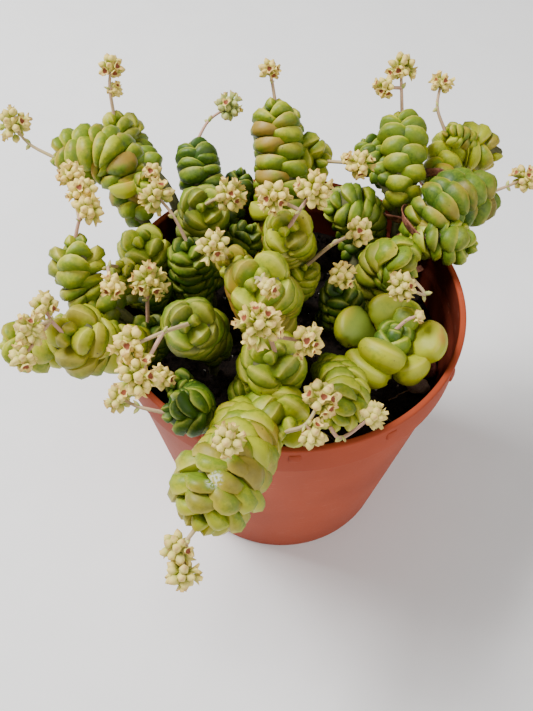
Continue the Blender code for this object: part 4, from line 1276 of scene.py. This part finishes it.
def terracotta_finish(name, body, shade, roughness):
    """Matt plastic with faint scuffs and small scratches."""
    finish = Finish(name, roughness, 0.06)
    cloud = finish.noise(0.03, 4.0)
    grain = finish.noise(1.6, 2.0)
    stretched = finish.node("ShaderNodeMapping", {}, {
        "Vector": finish.place(), "Scale": (1.0, 1.0, 9.0), "Rotation": (0.12, 0.05, 0.0)})
    streak = finish.noise(0.16, 3.0, 0.6, stretched)
    scuff = streak.over(0.63, 0.72) * cloud.over(0.45, 0.62)
    tint = finish.mix(cloud.over(0.3, 0.7), shade, body)
    finish.feed("Base Color", finish.mix((scuff * 0.35).held(), tint, SCUFF))
    finish.feed("Roughness", (roughness - 0.08 + grain * 0.12 + scuff * 0.2).held())
    finish.relief(grain * 0.4 + streak * 0.6, 0.06, 0.35)
    return finish.material


def earth_finish(name, dark, light, per_millimetre, roughness=0.92):
    """Peat, stone or wood: dark and light grains and a rough surface."""
    finish = Finish(name, roughness, 0.25)
    coarse = finish.noise(per_millimetre, 4.0, 0.65)
    fine = finish.noise(per_millimetre * 5, 2.0)
    finish.feed("Base Color", finish.mix((coarse * 0.7 + fine * 0.3).over(0.36, 0.66), dark, light))
    finish.relief(coarse + fine * 0.5, 0.35, 0.8)
    return finish.material


# Colours, as linear red, green and blue
BRIGHT_LEAF = (0.38, 0.40, 0.010)
MIDDLE_LEAF = (0.150, 0.225, 0.008)
DARK_LEAF = (0.036, 0.090, 0.006)
# Painted highlight along the leaves' ridges
PAINTED_KEEL_HIGHLIGHT = (0.60, 0.58, 0.10)
AMBER = (0.55, 0.33, 0.020)
ROSE_BROWN = (0.34, 0.17, 0.030)
DARK_DOT = (0.05, 0.035, 0.012)
WAX_WHITE = (0.75, 0.78, 0.66)
# Bark of the bare stems, also put on the stem core inside the leaves as painted shade between them
BARK_AND_CORE_SHADE_DARK = (0.045, 0.050, 0.020)
BARK_AND_CORE_SHADE_LIGHT = (0.16, 0.15, 0.055)
FROST_GREEN = (0.15, 0.24, 0.035)
SHEATH_DARK = (0.10, 0.028, 0.016)
SHEATH_LIGHT = (0.34, 0.13, 0.075)
BUD_FOOT = (0.36, 0.42, 0.05)
BUD_CREAM = (0.95, 0.71, 0.19)
BUD_GREEN = (0.36, 0.46, 0.17)
BUD_BLUSH = (0.50, 0.20, 0.09)
BUD_HEART = (0.26, 0.07, 0.03)
STALK_PINK = (0.56, 0.32, 0.24)
STALK_TAN = (0.50, 0.40, 0.19)
SCUFF = (0.62, 0.30, 0.22)

# The middle of the white waxy patch on the hanging shoot
WAX_PATCH = (-17, -73.5, 119.5)


def make_finishes():
    return {
        "leaf": leaf_finish(),
        "cream": cream_finish(),
        "sheath": sheath_finish(),
        "terracotta": terracotta_finish("terracotta_plastic", (0.385, 0.070, 0.030),
                                        (0.31, 0.054, 0.023), 0.54),
        # The same plastic, darker inside as painted shade
        "pot_inside_painted_shade": terracotta_finish("terracotta_inside_painted_shade", (0.15, 0.026, 0.014),
                                        (0.10, 0.017, 0.009), 0.52),
        "peat": earth_finish("dark_peat", (0.005, 0.0035, 0.003), (0.034, 0.021, 0.015), 0.5),
        "perlite": earth_finish("perlite", (0.40, 0.36, 0.30), (0.75, 0.72, 0.65), 1.5),
        "twig": earth_finish("dry_twig", (0.16, 0.09, 0.05), (0.36, 0.24, 0.14), 1.2, 0.8),
        "stone_red": earth_finish("red_stone", (0.26, 0.070, 0.055), (0.50, 0.19, 0.15), 0.5, 0.75),
        "stone_pale": earth_finish("pale_stone", (0.34, 0.20, 0.15), (0.58, 0.42, 0.34), 0.5, 0.75),
        "floor": earth_finish("pale_floor", (0.92, 0.92, 0.92), (0.95, 0.95, 0.95), 0.01, 0.9),
    }


# Camera, light and floor

def set_camera():
    """The camera at the photograph's angle, above the plant's near side."""
    lens = bpy.data.cameras.new("camera")
    lens.sensor_fit = "VERTICAL"
    lens.sensor_height = 36
    lens.lens = CAMERA_LENS
    lens.clip_start = 0.01
    camera = bpy.data.objects.new("camera", lens)
    bpy.context.scene.collection.objects.link(camera)
    back = Vector((0, -math.cos(CAMERA_TILT), math.sin(CAMERA_TILT)))
    turn = Matrix((CAMERA_ACROSS, CAMERA_UP, back)).transposed()
    camera.matrix_world = Matrix.Translation(Vector(CAMERA_PLACE) * MM) @ turn.to_4x4()
    bpy.context.scene.camera = camera


def set_lights():
    for name, place, size, power in LIGHTS:
        light = bpy.data.lights.new(name, "AREA")
        light.size = size
        light.energy = power
        lamp = bpy.data.objects.new(name, light)
        bpy.context.scene.collection.objects.link(lamp)
        lamp.location = place
        lamp.rotation_euler = (Vector(LIT_POINT) - Vector(place)).to_track_quat("-Z", "Y").to_euler()
    world = bpy.data.worlds.new("soft_room")
    bpy.context.scene.world = world
    world.use_nodes = True
    colour, strength = world.node_tree.nodes["Background"].inputs[:2]
    colour.default_value = ROOM_COLOUR
    strength.default_value = ROOM_STRENGTH


def set_floor(finish):
    pick()
    bpy.ops.mesh.primitive_plane_add(size=6)
    floor = named("floor")
    floor.data.materials.append(finish)


set_camera()
set_lights()
FINISHES = make_finishes()
set_floor(FINISHES["floor"])
LINES = stem_lines()
leafy_stems(LINES, FINISHES["leaf"])
LINES["stem_open_rosette", 0] = open_rosette(FINISHES["leaf"])
dry_sheaths(LINES, FINISHES["sheath"])
flower_heads(LINES, FINISHES["cream"])
make_pot(FINISHES)
soil_litter(make_soil(FINISHES), FINISHES)
make_stones(FINISHES)
pick()
